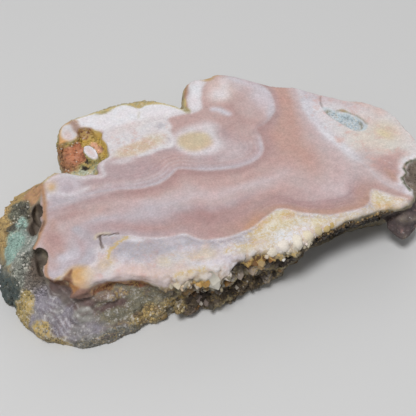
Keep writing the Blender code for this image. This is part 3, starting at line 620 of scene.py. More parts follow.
# Soft spots of the quartz between the pink and the front edge: colour, middle, half sizes, strength, turn.
QUARTZ_SPOTS = (
    (ASH, -26.6, -6.8, 4.6, 3, 0.9, -12),
    (ASH, -17, -10.4, 8.6, 3.2, 0.85, -10),
    (PEARL, -12.6, -9, 4, 1.6, 0.6, -14),
    (ASH, -4, -13.6, 5.6, 1.9, 0.4, -24),
    (ASH, 4.6, -16.2, 5, 1.3, 0.4, 4),
    (PEARL, -10.6, -13.8, 5.6, 2, 0.9, -8),
    (WHITE, -23.6, -4, 3, 1, 0.7, -24),
    (WHEAT, -34.6, -9.6, 3, 3.4, 0.7, 20),
    (WHITE, -38, -7.4, 2.4, 1.2, 0.6, 40),
    (BLUSH, -25, -16.4, 6, 2, 0.7, -22),
    (BLUSH, -14.6, -19.6, 3.6, 2, 0.6, -20),
    (WHEAT, -18.4, -14.8, 2.4, 1.6, 0.6, -20),
    (PEARL, -29, -8.6, 1.8, 1.6, 0.5, 20),
    (WHITE, -33, -12, 4, 1.4, 0.5, 30),
    (WHITE, -5.6, -19.6, 3, 3, 0.6, 0),
    (BLUSH, -4.6, -14.6, 1.6, 1.2, 0.7, 30),
    (PEARL, -0.6, -17.8, 3.2, 1.7, 0.8, 10),
    (CHALK, -34.2, -4.8, 2.2, 2.4, 0.7, 30),
    (CHALK, 42.4, -18.8, 5, 1, 0.7, 0),
    (WHEAT, -6.4, -17.6, 5, 2, 0.6, -10),
    (WHITE, 2.6, -18.4, 3.6, 1.3, 0.6, 10),
    (YELLOW, 6.6, -19.8, 3.6, 1.2, 0.55, 10),
    (ORANGE, 15, -12.8, 2.4, 1.6, 0.6, 30),
    (YELLOW, 21, -13, 5.6, 2.4, 0.5, 20),
    (ORANGE, 24.6, -12.6, 2.4, 1.2, 0.5, 0),
    (WHITE, 20.4, -20.4, 4.6, 2.6, 0.9, 12),
    (WHITE, 27, -18.6, 4.6, 2.2, 0.8, 14),
    (YELLOW, 31.4, -18, 3, 1.5, 0.6, 10),
    (YELLOW, 52.6, -16.8, 2.2, 2.6, 0.5, 0),
    (WHITE, 50.8, -15, 0.8, 2, 0.7, 10),
    (ORANGE, 60.4, -19, 3, 0.9, 0.7, -24),
    (GOLD, 53.8, -19.4, 3, 1.5, 0.7, -16),
    (WHITE, 57.6, -19.6, 2.4, 1.2, 0.6, -20),
)
QUARTZ_SPOT_SOFT = 0.7
# Where ochre runs through the quartz in veins: half width, amount, route.
VEINS = (
    (0.45, 1.6, -33.6, -7.4, -32.4, -5.6, -30.4, -4.2, -27, -2.6, -24.8, -2),
    (0.5, 0.7, -36.4, -10, -34.4, -10.6, -33.2, -9.6),
    (0.9, 0.85, 0.6, -18.6, 4, -17.6, 8, -18.6, 11.4, -17.6),
    (1.2, 0.75, 9, -15.6, 13, -14.6, 16, -12.4, 20, -11.2, 24.6, -11.6),
    (1.6, 0.65, 13, -17.6, 18, -16, 23, -15.6, 28, -16),
    (2.4, 0.3, -18, -14.6, -11, -15.8, -5, -17),
    (0.9, 0.8, -16.6, -21.6, -12, -21.8, -8, -22.4),
    (0.6, 0.6, 30, -18.4, 35, -19.2, 42, -19.6, 50, -18.8),
    (1, 0.55, 51.6, -17.6, 53, -16, 56, -17.8, 60, -20),
)


def paint_quartz_zone(canvas, xyz, in_quartz, front_gap):
    """The sugary quartz of the front edge, and the lines where it meets the banding."""
    points, x = canvas.points, canvas.points[:, 0]
    side = np.where(in_quartz, -front_gap, front_gap)
    spot, stroke, mark, quartz = canvas.spot, canvas.stroke, canvas.mark, Canvas(points)
    quartz.colour = ramp(front_gap, QUARTZ_BANDS)
    quartz.patch(CREAM, 2, 0.9, 11, -14, 17, -10.8, 22, -9.6, 26, -11.4, 31, -15.6, 38, -18, 47, -19,
        55, -26, 8, -26, 10, -18)
    quartz.patch(PALE_QUARTZ, 1.6, 0.85, -50, -9, -43, -8, -38, -7, -34.5, -6, -32, -9, -27, -12.4,
        -20, -15.6, -17, -24, -50, -18)
    quartz.patch(CREAM, 0.8, 0.9, 50.6, -16, 52.4, -13.2, 53.8, -12.4, 56, -14.6, 61, -19, 60, -24, 50, -24)
    for *row, turn in QUARTZ_SPOTS:
        quartz.spot(*row, QUARTZ_SPOT_SOFT, turn)
    milk = layered_noise(xyz + 31, 3.4, 4, 9)
    quartz.cover(WHITE, 0.5 * faded(-4 - x, 6) * faded(0.45 - milk, 0.4))
    quartz.cover(MAUVE, 0.3 * faded(0.5 + milk, 0.4))
    warm = between(x, 9, 5, 60, 4)
    mark(STAIN, 1, np.where(in_quartz, 0.12 + 0.16 * warm, 0))
    mark(FROST, 0.5, np.where(in_quartz, 0.2 + 0.8 * faded(-4 - x, 6), 0))
    mark(BLOOM, 0.4, np.where(in_quartz, 1, 0))
    for half_width, amount, *route in VEINS:
        mask = stroke_mask(points, route, half_width, 1.3)
        quartz.cover(YELLOW, 0.3 * amount * mask)
        mark(STAIN, 0.62 * amount, np.where(in_quartz, mask, 0))
    grey_line = curve(FRONT) - (0.3, 1.2)
    under = faded(distance_to(points, grey_line) - 0.12, 0.4)
    drawn = between(x, -12, 3, 13, 3) + between(x, 26, 2, 42, 3)
    quartz.cover(GREY_LINE, 0.8 * under * drawn)
    spot(CORAL, 50, -14, 2.6, 3.4, np.where(in_quartz, 0, 0.8), 0.9, -30)
    arch = stroke_mask(points, (49, -13, 51.6, -10.9, 54.4, -10.9, 57, -13.6, 60.4, -17.4), 0.8, 1.5)
    canvas.cover(DEEP_ROSE, 0.8 * arch * ~in_quartz)
    canvas.cover(quartz.colour, faded(side, 0.3 + 0.9 * faded(49 - x, 2)))
    broken = 0.85 * patchy_noise(xyz, 4, 17, 0.5)
    canvas.cover(WHITE, broken * faded(front_gap - 0.3, 0.45) * faded(-31 - x, 3))
    spot(ORANGE, 11.4, -11.6, 3.4, 1.2, np.where(in_quartz, 0, 0.4), 0.8, 30)
    spot(CHALK, -34.8, -4.2, 2, 2.6, 0.7, 0.7, 20)
    stroke(CRACK, 0.24, 0.35, 1, -34, -3.8, -33.8, -1.6, -33.3, 0.4, -32.7, 1.9)
    stroke(CRACK, 0.22, 0.35, 1, -33.6, 1.6, -32.2, 1.9, -30.6, 1.2, -29, 0.8, -27.4, 0.4)
    stroke(YELLOW, 0.3, 0.6, 0.5, -34.6, 1, -33.4, 2.6, -31.6, 2.4, -30, 1.6)
    for shift in (0, 1.3):
        route = (shift - 39.4, -7.9, shift - 36.6, -6.2, shift - 34.6, -3.6)
        stroke(ASH, 0.12, 0.35, 0.6, *route)


# ---- the natural skin ----
SKIN_GREY = (142, 134, 116)
SKIN_BACK = (172, 158, 126)
RIND_TAN = (172, 146, 100)
RIND_ORANGE = (180, 138, 104)
RIND_GREY = (106, 106, 92)
MINT = (146, 171, 161)
MINT_GREY = (143, 149, 141)
# Brown of the smooth hollows at the left end, darkened as painted shade of the ledge above them.
SCOOP_SHADE_BROWN = (98, 86, 76)
CRUMB = (142, 144, 134)
# Dark green-grey of the far left end, partly its skin and partly painted shadow.
DARK_GREEN_SHADOW = (72, 82, 80)
FLANK_LILAC = (139, 133, 142)
FLANK_GREY = (130, 127, 121)
FLANK_OCHRE = (160, 142, 94)
FLANK_PALE = (196, 192, 194)
FLANK_SHADE = (112, 98, 100)
NOTCH_BROWN = (92, 58, 42)
# Violet-brown used as painted shade under the left ledge and the lip.
VIOLET_BROWN_SHADE = (98, 78, 74)
BOSS = (158, 155, 148)
PALE_LUMP = (132, 114, 101)
LIP_SHADE = (136, 104, 92)
PINK_LUMP = (188, 160, 142)
RED_BROWN = (118, 70, 44)
LIP_BROWN = (168, 128, 104)
GREY_OLIVE = (112, 107, 88)
FOOT_PALE = (114, 112, 104)
OCHRE_TAN = (162, 140, 92)
# Dark brown for painted shade in the skin's hollows and recesses; some front crystals also take it as a
# darker tint.
CREVICE_SHADE_BROWN = (50, 40, 32)
DEEP_AMBER = (134, 90, 44)
PEBBLE = (86, 73, 56)
SMOKY = (150, 134, 104)
OLIVE_BROWN = (62, 55, 38)
# Dark brown of the wall under the right overhang, darkened further as painted shade.
DARK_WALL_SHADE = (20, 14, 9)
NODULE = (84, 71, 72)
POCKET_RED = (186, 124, 92)
POCKET_BROWN = (150, 106, 74)
POCKET_OCHRE = (190, 160, 76)
POCKET_OLIVE = (158, 150, 96)
POCKET_PALE = (180, 184, 160)
POCKET_PINK = (214, 166, 138)
CRUMB_BROWN = (124, 116, 108)
VEIN_GREY = (84, 82, 72)
# Painted light: the vug's wall, paler than its floor so its shaded side reads bright.
VUG_WALL_PAINTED_LIGHT = (196, 208, 214)
MATRIX = (108, 95, 84)

# Patches of the skin: colour, middle, half sizes, and the percentages of stain, frost, soot and bloom in it.
SKIN_PATCHES = (
    (RIND_TAN, -57, 22, 15, 8, 16, 9, 30, 25, 45, 0),
    (RIND_TAN, -49, 32, 15, 8, 6, 9, 30, 25, 35, 10),
    (RIND_ORANGE, -46.6, 28.6, 19.4, 5.2, 4.8, 3.8, 20, 30, 30, 30),
    (RIND_GREY, -52.4, 24, 17, 3.8, 6.2, 3.8, 15, 35, 50, 0),
    (VEIN_GREY, -51.2, 24.4, 18, 1.5, 3, 2.6, 10, 35, 50, 0),
    (VEIN_GREY, -56, 19.6, 16.6, 2.4, 1.6, 2.4, 10, 30, 50, 0),
    (MINT_GREY, -53.4, 11.8, 17.8, 3.8, 8, 4.4, 0, 50, 15, 0),
    (MINT_GREY, -56, 7, 16.4, 4.4, 4.4, 4.4, 0, 45, 15, 0),
    (CRUMB, -56.4, 1.6, 14.6, 5, 5.6, 4.6, 5, 50, 30, 0),
    (CRUMB_BROWN, -55.2, -1.6, 14.8, 4.2, 4.2, 4.4, 5, 45, 45, 30),
    (MINT, -56.6, 14, 16, 3.4, 4.6, 4, 0, 45, 5, 0),
    (MINT, -59.4, 11, 13.8, 3.2, 3.8, 3.6, 0, 45, 5, 0),
    (MINT, -53, 19, 17.8, 1.8, 3, 2.6, 0, 45, 5, 0),
    # Painted shadow at the far left end, over its dark green skin.
    (DARK_GREEN_SHADOW, -62.8, 4, 7, 4.5, 8.5, 6.4, 10, 30, 30, 0),
    # The smooth hollows: their brown, partly painted shade under the ledge.
    (SCOOP_SHADE_BROWN, -47.2, 19.6, 18.4, 2.7, 4.9, 4.7, 0, 0, 20, 0),
    (SCOOP_SHADE_BROWN, -49.4, 14.6, 18.2, 2.9, 5.3, 4.7, 0, 0, 20, 0),
    (SCOOP_SHADE_BROWN, -52.2, 0.6, 17.6, 3.8, 6.2, 5.8, 0, 0, 20, 0),
    (FLANK_LILAC, -53, -11, 8, 10, 9, 9, 2, 42, 34, 20),
    (FLANK_LILAC, -46, -18, 6, 8, 6, 8, 6, 42, 34, 15),
    (FLANK_OCHRE, -59.2, -4.6, 9.2, 2.4, 2.8, 4.2, 45, 50, 20, 0),
    (FLANK_OCHRE, -61.2, -5.8, 4.8, 2.2, 4.4, 4.8, 45, 50, 20, 0),
    (FLANK_OCHRE, -57.4, -13.4, 3.8, 3.4, 3.9, 3.6, 65, 45, 15, 0),
    (FLANK_OCHRE, -53, -17.8, 1.8, 4.6, 2.8, 2.3, 50, 50, 20, 0),
    # Painted shade under the left ledge and the lip, in violet-brown.
    (VIOLET_BROWN_SHADE, -50.6, -8.6, 16.6, 3.4, 2.4, 2.8, 0, 5, 25, 10),
    (VIOLET_BROWN_SHADE, -47.4, -11.6, 15.6, 3.6, 2.8, 3.6, 0, 5, 25, 10),
    (VIOLET_BROWN_SHADE, -43.4, -14.6, 13.6, 4.6, 2.2, 2.6, 0, 10, 25, 10),
    (NOTCH_BROWN, -49.6, -9, 20, 3.4, 2.2, 1.9, 10, 0, 30, 0),
    (NOTCH_BROWN, -46.6, -9.8, 20.4, 1.3, 2.6, 2.2, 10, 0, 30, 0),
    (PINK_LUMP, -39.6, -15, 16.8, 3.8, 2.6, 2.8, 20, 45, 10, 0),
    (LIP_SHADE, -44.8, -14.2, 17, 4.2, 3.2, 3.6, 0, 20, 20, 20),
    (COPPER, -45.2, -12.8, 19.8, 2.2, 2.2, 1.3, 20, 20, 20, 0),
    (GREY_OLIVE, -30, -17.5, 10, 12, 5, 5.6, 12, 45, 40, 0),
    (GREY_OLIVE, -21, -18.6, 12.4, 6, 3.6, 4.4, 15, 40, 40, 0),
    (BOSS, -44.6, -17.2, 11.4, 3.2, 2.4, 2.9, 0, 35, 10, 0),
    (LIP_BROWN, -34, -14.4, 17.6, 7.4, 2.4, 1.5, 30, 25, 30, 30),
    (LIP_BROWN, -25, -15.8, 17.2, 5.4, 2.4, 1.2, 30, 25, 30, 30),
    (RED_BROWN, -36, -13.8, 16, 4.6, 2.2, 1.3, 20, 10, 45, 10),
    (RED_BROWN, -27, -15.6, 16, 5.4, 2.4, 1.1, 30, 10, 40, 10),
    # Painted shade low under the lip.
    (VIOLET_BROWN_SHADE, -36.4, -16.4, 10.8, 5.4, 1.8, 0.9, 0, 35, 30, 10),
    (PALE_LUMP, -38.4, -14.9, 13.8, 3, 1.9, 1.3, 10, 40, 10, 10),
    (PALE_LUMP, -33.2, -15.7, 13, 3.4, 1.9, 1.4, 35, 45, 15, 10),
    (FOOT_PALE, -45, -21, 2, 6.5, 3, 3, 20, 45, 30, 0),
    (FOOT_PALE, -36, -21.8, 2.2, 8.5, 3, 3.8, 25, 45, 35, 0),
    (OCHRE_TAN, -25.6, -20, 5, 5.8, 3, 3.6, 35, 50, 40, 0),
    (OCHRE_TAN, -17.6, -21.4, 7.4, 4.8, 2.8, 3.4, 40, 50, 25, 0),
    # The crevice colour's rows are painted shade in the recesses under the front crystals.
    (CREVICE_SHADE_BROWN, -11.8, -23.8, 13.6, 3.6, 3.2, 2.8, 20, 5, 50, 0),
    (CREVICE_SHADE_BROWN, -9.4, -20.8, 7.4, 4.4, 3, 2.4, 10, 10, 50, 0),
    (DEEP_AMBER, -10.4, -24.6, 17.8, 3.4, 2.2, 1.5, 60, 10, 35, 0),
    (PEBBLE, -10, -22.2, 4, 5.4, 2.6, 3.2, 10, 25, 30, 0),
    (PEBBLE, 6, -22, 5.4, 13, 3.4, 5.2, 25, 20, 50, 0),
    (SMOKY, 10.4, -23, 15, 4.6, 2.8, 2.8, 45, 45, 35, 0),
    (SMOKY, 18, -23, 17, 6.6, 2.8, 1.4, 55, 45, 35, 0),
    # Painted shade in a recess under the crystals.
    (CREVICE_SHADE_BROWN, 3.6, -23.8, 17.6, 3.8, 3, 2.8, 20, 0, 50, 0),
    (DEEP_AMBER, 9.4, -23.6, 18.8, 5, 2.6, 1.7, 50, 20, 30, 0),
    # Painted shade in the recess under the crystals.
    (CREVICE_SHADE_BROWN, 20, -22.8, 13, 9.8, 3, 3.4, 10, 8, 50, 0),
    (OLIVE_BROWN, 20, -22.8, 10.6, 7.4, 3, 1.4, 20, 20, 50, 0),
    # Painted shade on the wall under the right overhang.
    (DARK_WALL_SHADE, 42, -15.4, 10.6, 18, 9, 9.8, 16, 2, 45, 0),
    (DARK_WALL_SHADE, 33, -19, 17.6, 8, 4, 2.2, 20, 5, 40, 0),
    (NODULE, 63, -17.4, 11.4, 6.8, 7.4, 7.6, 5, 30, 20, 40),
    (POCKET_OLIVE, -29, 39, 18.6, 14, 14, 3.6, 50, 30, 30, 0),
    (POCKET_BROWN, -34, 40, 17.6, 5.4, 8.4, 5.4, 20, 30, 40, 30),
    (POCKET_BROWN, -23.6, 49, 19.4, 5, 2.6, 2.8, 50, 45, 35, 10),
    (POCKET_RED, -28, 41.6, 18.8, 4.6, 5.4, 2.4, 10, 25, 25, 40),
    (POCKET_OCHRE, -23.2, 46.8, 18.6, 3.2, 1.8, 2.4, 80, 35, 20, 0),
    (POCKET_OCHRE, -19.4, 42, 20.2, 2.2, 6, 2.6, 60, 40, 20, 0),
    (POCKET_PINK, -21.6, 42.6, 18.6, 1.8, 3.2, 1.8, 20, 35, 20, 30),
    (POCKET_OCHRE, -21.8, 36.6, 19.6, 3.2, 1.7, 2.4, 70, 30, 20, 0),
    (POCKET_PALE, -29.4, 31.6, 19.6, 8, 3, 2.8, 35, 50, 20, 0),
    # Painted shade in the pocket's crevices.
    (CREVICE_SHADE_BROWN, -25.4, 36.4, 18.8, 1.7, 0.8, 1.7, 10, 20, 50, 0),
    (CREVICE_SHADE_BROWN, -27.4, 34.2, 18.8, 1.5, 0.7, 1.7, 10, 20, 50, 0),
    (VUG_BLUE, 60.4, 21, 19.6, 6, 9, 2.3, 0, 60, 5, 0),
    # Painted light on the vug's shaded wall.
    (VUG_WALL_PAINTED_LIGHT, 61.2, 22, 21.5, 5.4, 8.4, 1, 0, 30, 5, 0),
    (MATRIX, 71, -12, 21, 8, 8, 1.6, 5, 30, 35, 0),
)
PATCH_SOFT = 0.28
# How far down the rim the colours of the cut reach, at places along the front, and behind.
LIP_PLACES = (-54, -47, -43, -36, -30, -20, -12, -4, 4, 12, 22, 34, 48, 60, 63)
LIP_DEPTHS = (0.5, 0.8, 2.6, 3.6, 3.6, 4.2, 1.8, 3.6, 1.4, 1.4, 3.6, 1.6, 1.4, 1.2, 0.4)
LIP_BEHIND = 0.25
# Across the flank's flow lines, and the distance between them.
FLOW_ACROSS = np.array((0.84, 0.16, 0.51))
FLOW_SPACING = 1.9
# The skin under the lip is drawn out along X: how much its noise is stretched there.
DRAWN_OUT = (0.22, 1, 1)
# The smooth hollows of the left end: middle, half sizes.
SMOOTH_SCOOPS = (
    ((-47.2, 19.6, 18.4), (2.8, 5, 4.8)),
    ((-49.4, 14.6, 18.2), (3, 5.4, 4.8)),
    ((-51.6, 0.8, 18), (3.6, 5.8, 6)),
)
# Colours that single crystals of the front take: up to which share of them, colour, strength.
CRYSTAL_TINTS = ((0.16, DEEP_AMBER, 0.55), (0.34, YELLOW, 0.45), (0.55, WHITE, 0.4), (0.7, CREVICE_SHADE_BROWN, 0.3))


def flank_mask(points):
    """The smooth flank at the left end of the front."""
    x, y, _ = points.T
    return faded(x + 33, 6) * faded(y + 3, 4)


def crystal_mask(points):
    """Where the front is broken into crystals."""
    x, y, _ = points.T
    return between(x, -21, 4, 33, 4) * faded(y + 10, 5)


def flow_lines(points):
    """Waves from -1 to 1 that run with the flank's flow, and how strong they are from 0 to 1."""
    warp = layered_noise(points, 7, 4, 45)
    waves = np.sin((points @ FLOW_ACROSS + 1.6 * warp) * 2 * np.pi / FLOW_SPACING)
    return waves, faded(-0.1 - layered_noise(points, 5, 2, 46), 0.4)


def paint_skin(points, cut, cavity, number):
    """The colours and marks of the natural skin."""
    moved = points + 0.9 * noise_vectors(points, 3.2, 3, (21, 22, 23))
    x, y, z = moved.T
    skin = Canvas(moved)
    skin.colour[:] = SKIN_GREY
    skin.marks[:] = (0.2, 0.3, 0.3, 0)
    skin.cover(SKIN_BACK, faded(26 - y, 10))
    for row in SKIN_PATCHES:
        mask = ball_mask(moved, row[1:4], row[4:7], PATCH_SOFT)
        skin.cover(row[0], mask)
        skin.marks = lay(skin.marks, np.array(row[7:]) / 100, mask)
    waves, strength = flow_lines(points)
    flank = 0.6 * flank_mask(points) * ball_mask(moved, (-51, -13, 8), (11, 9, 9), 0.4)
    skin.cover(FLANK_GREY, flank * faded(0.1 - smooth_noise(points, 4, 47), 0.3))
    skin.cover(FLANK_PALE, flank * strength * faded(0.8 - waves, 0.2))
    skin.cover(FLANK_SHADE, flank * strength * faded(0.65 + waves, 0.3))
    streaks = layered_noise(points * DRAWN_OUT, 1.6, 3, 48)
    # Streaks under the lip: pale ones, and violet-brown ones that are partly the skin's colour and partly
    # painted shade.
    under_lip = 0.45 * between(x, -44, 3, -14, 5) * faded(y + 8, 4) * faded(z - 17, 2)
    skin.cover(FOOT_PALE, under_lip * faded(0.35 - streaks, 0.3))
    skin.cover(VIOLET_BROWN_SHADE, under_lip * faded(0.35 + streaks, 0.3))
    low_crystals = faded(z - 18, 2) * crystal_mask(points)
    for share, colour, strength in CRYSTAL_TINTS:
        skin.cover(colour, strength * low_crystals * faded(np.abs(number - share + 0.07) - 0.06, 0.01))
    skin.colour *= (1 + 0.12 * layered_noise(points, 1.8, 3, 31))[:, None]
    # Painted shade: darkens the skin in its hollows, the deeper the darker.
    skin.cover(CREVICE_SHADE_BROWN, 0.5 * cavity)
    in_front = faded(y + 4, 5)
    depth = in_front * np.interp(x, LIP_PLACES, LIP_DEPTHS) + (1 - in_front) * LIP_BEHIND
    lip = faded(THICKNESS - points[:, 2] - depth, 0.7)
    skin.cover(cut.colour, lip)
    skin.marks = lay(skin.marks, cut.marks, lip)
    return skin


# ---- the stone's mesh ----
def placed(name, data):
    """A new object with this data, in the scene."""
    thing = bpy.data.objects.new(name, data)
    bpy.context.scene.collection.objects.link(thing)
    return thing


def refined_mesh(node):
    """An even fine mesh of the CAD solid."""
    rough = bpy.data.meshes.new("rough")
    bm = bmesh.new()
    bm.from_mesh(node.data)
    bmesh.ops.remove_doubles(bm, verts=bm.verts, dist=1e-6)
    bm.to_mesh(rough)
    bm.free()
    helper = placed("remeshed", rough)
    modifier = helper.modifiers.new("voxels", "REMESH")
    modifier.mode = "VOXEL"
    modifier.voxel_size = VOXEL * MM
    modifier.adaptivity = 0
    fine = bpy.data.meshes.new_from_object(helper.evaluated_get(bpy.context.evaluated_depsgraph_get()))
    bpy.data.objects.remove(helper)
    bpy.data.meshes.remove(rough)
    return fine


def rows_of(items, name, width, kind=float):
    """A property of all of a mesh's points or edges, one row for each."""
    flat = np.empty(len(items) * width, kind)
    items.foreach_get(name, flat)
    return flat.reshape(-1, width)


def points_of(mesh):
    """The mesh's points in the slab's coordinates, in millimetres, and its unit normals."""
    return rows_of(mesh.vertices, "co", 3) / MM + MIDDLE, rows_of(mesh.vertex_normals, "vector", 3)


def put_points(mesh, points):
    """Moves the mesh's points to places in the slab's coordinates."""
    mesh.vertices.foreach_set("co", ((points - MIDDLE) * MM).ravel())
    mesh.update()


def relaxed(points, ends, weight, rounds):
    """The points after rounds of moving each towards the middle of its neighbours, by its weight."""
    count = len(points)
    ways = np.concatenate([ends, ends[:, ::-1]])
    degree = np.bincount(ways[:, 0], minlength=count)[:, None]
    for _ in range(rounds):
        total = np.stack([np.bincount(ways[:, 0], points[ways[:, 1], i], count) for i in range(3)], axis=1)
        points = lay(points, total / degree, weight)
    return points


# The lip of the front rim that isn't cut but broken and weathered round: its route on the cut, how far from
# it and how deep the rounding reaches, and in how many rounds it is rounded.
FRONT_LIP = (
    -47, -11.4, -43, -13.6, -39, -14, -34, -14.5, -30, -15, -26, -17, -22, -20, -17, -21.5, -12, -22.5,
    -7, -23.5, -3, -24, 0, -22.5, 4, -21.5, 10, -21.5, 16, -22, 21, -22.5, 26, -21.5, 31, -20.5,
    37, -19.8, 43, -19.8, 50, -19.5,
)
LIP_REACH = 2.6
LIP_DEPTH = 3.6
LIP_ROUNDS = 24


def lip_weight(points):
    """How far each point belongs to the rounded lip, from 0 to 1."""
    along = distance_to(points[:, :2], curve(FRONT_LIP))
    side = faded(along - LIP_REACH, 1.4) * faded(THICKNESS - points[:, 2] - LIP_DEPTH, 1.5)
    return side * (0.35 + 0.65 * faded(points[:, 0] - 30, 6))


# Places pushed in or out on their own: middle, radii, how far in millimetres.
NUDGES = (
    ((-33, 50, 17), (4, 5, 4), -0.5),
    ((-43.4, -14.8, 15.4), (3.6, 2.6, 2.4), -0.7),
    ((-39.6, -14.6, 14.8), (2.8, 2, 2.2), 0.6),
    ((-34.4, -15, 13.8), (3.4, 2, 2), 0.4),
    ((-30, -15, 16), (2.4, 2, 1.2), 0.5),
    ((2, -23.8, 18), (2.4, 3, 2.4), -1.6),
    ((-12, -23.4, 14), (3.2, 3, 2.6), -1.2),
    ((59.4, -20.4, 8.4), (3.6, 3.6, 3.6), 0.8),
)
# How high on their lumps the crystals neither stand out nor lie in.
CRYSTAL_LEVEL = 0.55


def skin_relief(points, lip):
    """How far the skin stands out at each point, how deep in a hollow it lies, and its crystal's number."""
    x, y, _ = points.T
    rind = faded(x + 46, 4) * faded(-4 - y, 4)
    flank = flank_mask(points) * (1 - rind)
    crystal_zone = crystal_mask(points)
    rest = 1 - np.clip(rind + flank + crystal_zone, 0, 1)
    large, number = crystal_noise(points, 3.9, 41)
    small, _ = crystal_noise(points, 1.5, 42)
    grain = 0.5 - cell_noise(points, 1.3, 43)[0]
    rough = layered_noise(points, 2.6, 3, 44)
    streaks = layered_noise(points * DRAWN_OUT, 2, 3, 48)
    waves, strength = flow_lines(points)
    crystals = 1.9 * (large - CRYSTAL_LEVEL) + 0.8 * (small - CRYSTAL_LEVEL)
    crust = 0.4 * grain + 0.5 * rough
    flank_relief = 0.05 * waves * strength + 0.3 * rough + 0.12 * grain
    plain = 0.4 * rough + 0.2 * grain + 0.25 * streaks
    relief = rind * crust + flank * flank_relief + crystal_zone * crystals + rest * plain
    for scoop in SMOOTH_SCOOPS:
        relief *= 1 - 0.9 * ball_mask(points, *scoop, 0.15)
    cavity = np.clip(-relief / 0.6 - 0.15, 0, 1)
    soft_lumps = 0.5 * smooth_noise(points, 3, 49) * (1 - crystal_zone)
    comb = 0.5 * np.abs(smooth_noise(points * (1, 1, 0.2), 1.5, 50)) * faded(32 - x, 3)
    relief = relief * (1 - 0.3 * lip) + lip * (soft_lumps - comb)
    for centre, radii, push in NUDGES:
        relief += push * ball_mask(points, centre, radii, 0.5)
    return relief, cavity, number


# What the stone's other pieces grow on and take their colours from.
Surface = namedtuple("Surface", "points normals colour skin_share")
# A point is on a saw cut if its normal is this upright and it is this near to the cut.
UPRIGHT, CUT_REACH = 0.98, 0.4
# The relief fades out over these heights towards the cut, the base and the rounded lip.
CUT_FADE, BASE_FADE, LIP_FADE = 1.2, 0.8, 0.8


def shaped_stone():
    """The stone with its relief and colours, and its surface."""
    mesh = refined_mesh(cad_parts["amethyst_slice"])
    points, normals = points_of(mesh)
    on_cut = (normals[:, 2] > UPRIGHT) & (points[:, 2] > THICKNESS - CUT_REACH)
    on_base = (normals[:, 2] < -UPRIGHT) & (points[:, 2] < CUT_REACH)
    below = THICKNESS - points[:, 2]
    lip = lip_weight(points)
    relief, cavity, number = skin_relief(points, lip)
    rounded = relaxed(points, rows_of(mesh.edges, "vertices", 2, np.int32), lip, LIP_ROUNDS)
    put_points(mesh, rounded)
    _, normals = points_of(mesh)
    free = np.clip(below / CUT_FADE, 0, 1) * np.clip(points[:, 2] / BASE_FADE, 0, 1)
    free = np.maximum(free, np.clip((THICKNESS - rounded[:, 2]) / LIP_FADE, 0, 1) * lip)
    free[on_base] = 0
    shaped = rounded + normals * (relief * free)[:, None]
    shaped[:, 2] = np.clip(shaped[:, 2], 0, THICKNESS)
    shaped[on_cut & (lip < 0.02), 2] = THICKNESS
    shaped[on_base, 2] = 0
    put_points(mesh, shaped)

    cut = paint_cut_face(points)
    cut.cover(DEEP_AMBER, 0.28 * cavity * free * lip)
    skin = paint_skin(points, cut, cavity * free, number)
    skin_share = faded(0.35 - below, 0.3)
    skin_share[on_cut] = 0
    colour = lay(cut.colour, skin.colour, skin_share)
    marks = lay(cut.marks, skin.marks, skin_share)
    add_colour(mesh, "tint", colour)
    for kind, name in enumerate(MARKINGS):
        add_value(mesh, name, marks[:, kind])
    add_value(mesh, "skin", np.maximum(skin_share, 0.6 * lip))
    mesh.polygons.foreach_set("use_smooth", [True] * len(mesh.polygons))
    dissolve_base(mesh)
    return placed("banded_stone", mesh), Surface(shaped, normals, colour, skin_share)


def dissolve_base(mesh):
    """Makes one face of the flat saw-cut base, whose small faces carry nothing."""
    bm = bmesh.new()
    bm.from_mesh(mesh)
    flat = [face for face in bm.faces if all(vert.co.z < 1e-7 for vert in face.verts)]
    bmesh.ops.dissolve_faces(bm, faces=flat, use_verts=True)
    bmesh.ops.triangulate(bm, faces=[face for face in bm.faces if len(face.verts) > 4])
    bm.to_mesh(mesh)
    bm.free()


def linear(colour):
    """8-bit sRGB as linear light."""
    share = np.clip(np.asarray(colour, float) / 255, 0, 1)
    return np.where(share <= 0.04045, share / 12.92, ((share + 0.055) / 1.055) ** 2.4)


def add_colour(mesh, name, colour):
    layer = mesh.attributes.new(name, "FLOAT_COLOR", "POINT")
    rows = np.ones((len(colour), 4))
    rows[:, :3] = linear(colour)
    layer.data.foreach_set("color", rows.ravel())


def add_value(mesh, name, values):
    mesh.attributes.new(name, "FLOAT", "POINT").data.foreach_set("value", np.asarray(values, float))


def nearest_row(surface, place):
    """The row of the surface's point nearest to a place."""
    return int(np.argmin(np.linalg.norm(surface.points - place, axis=1)))


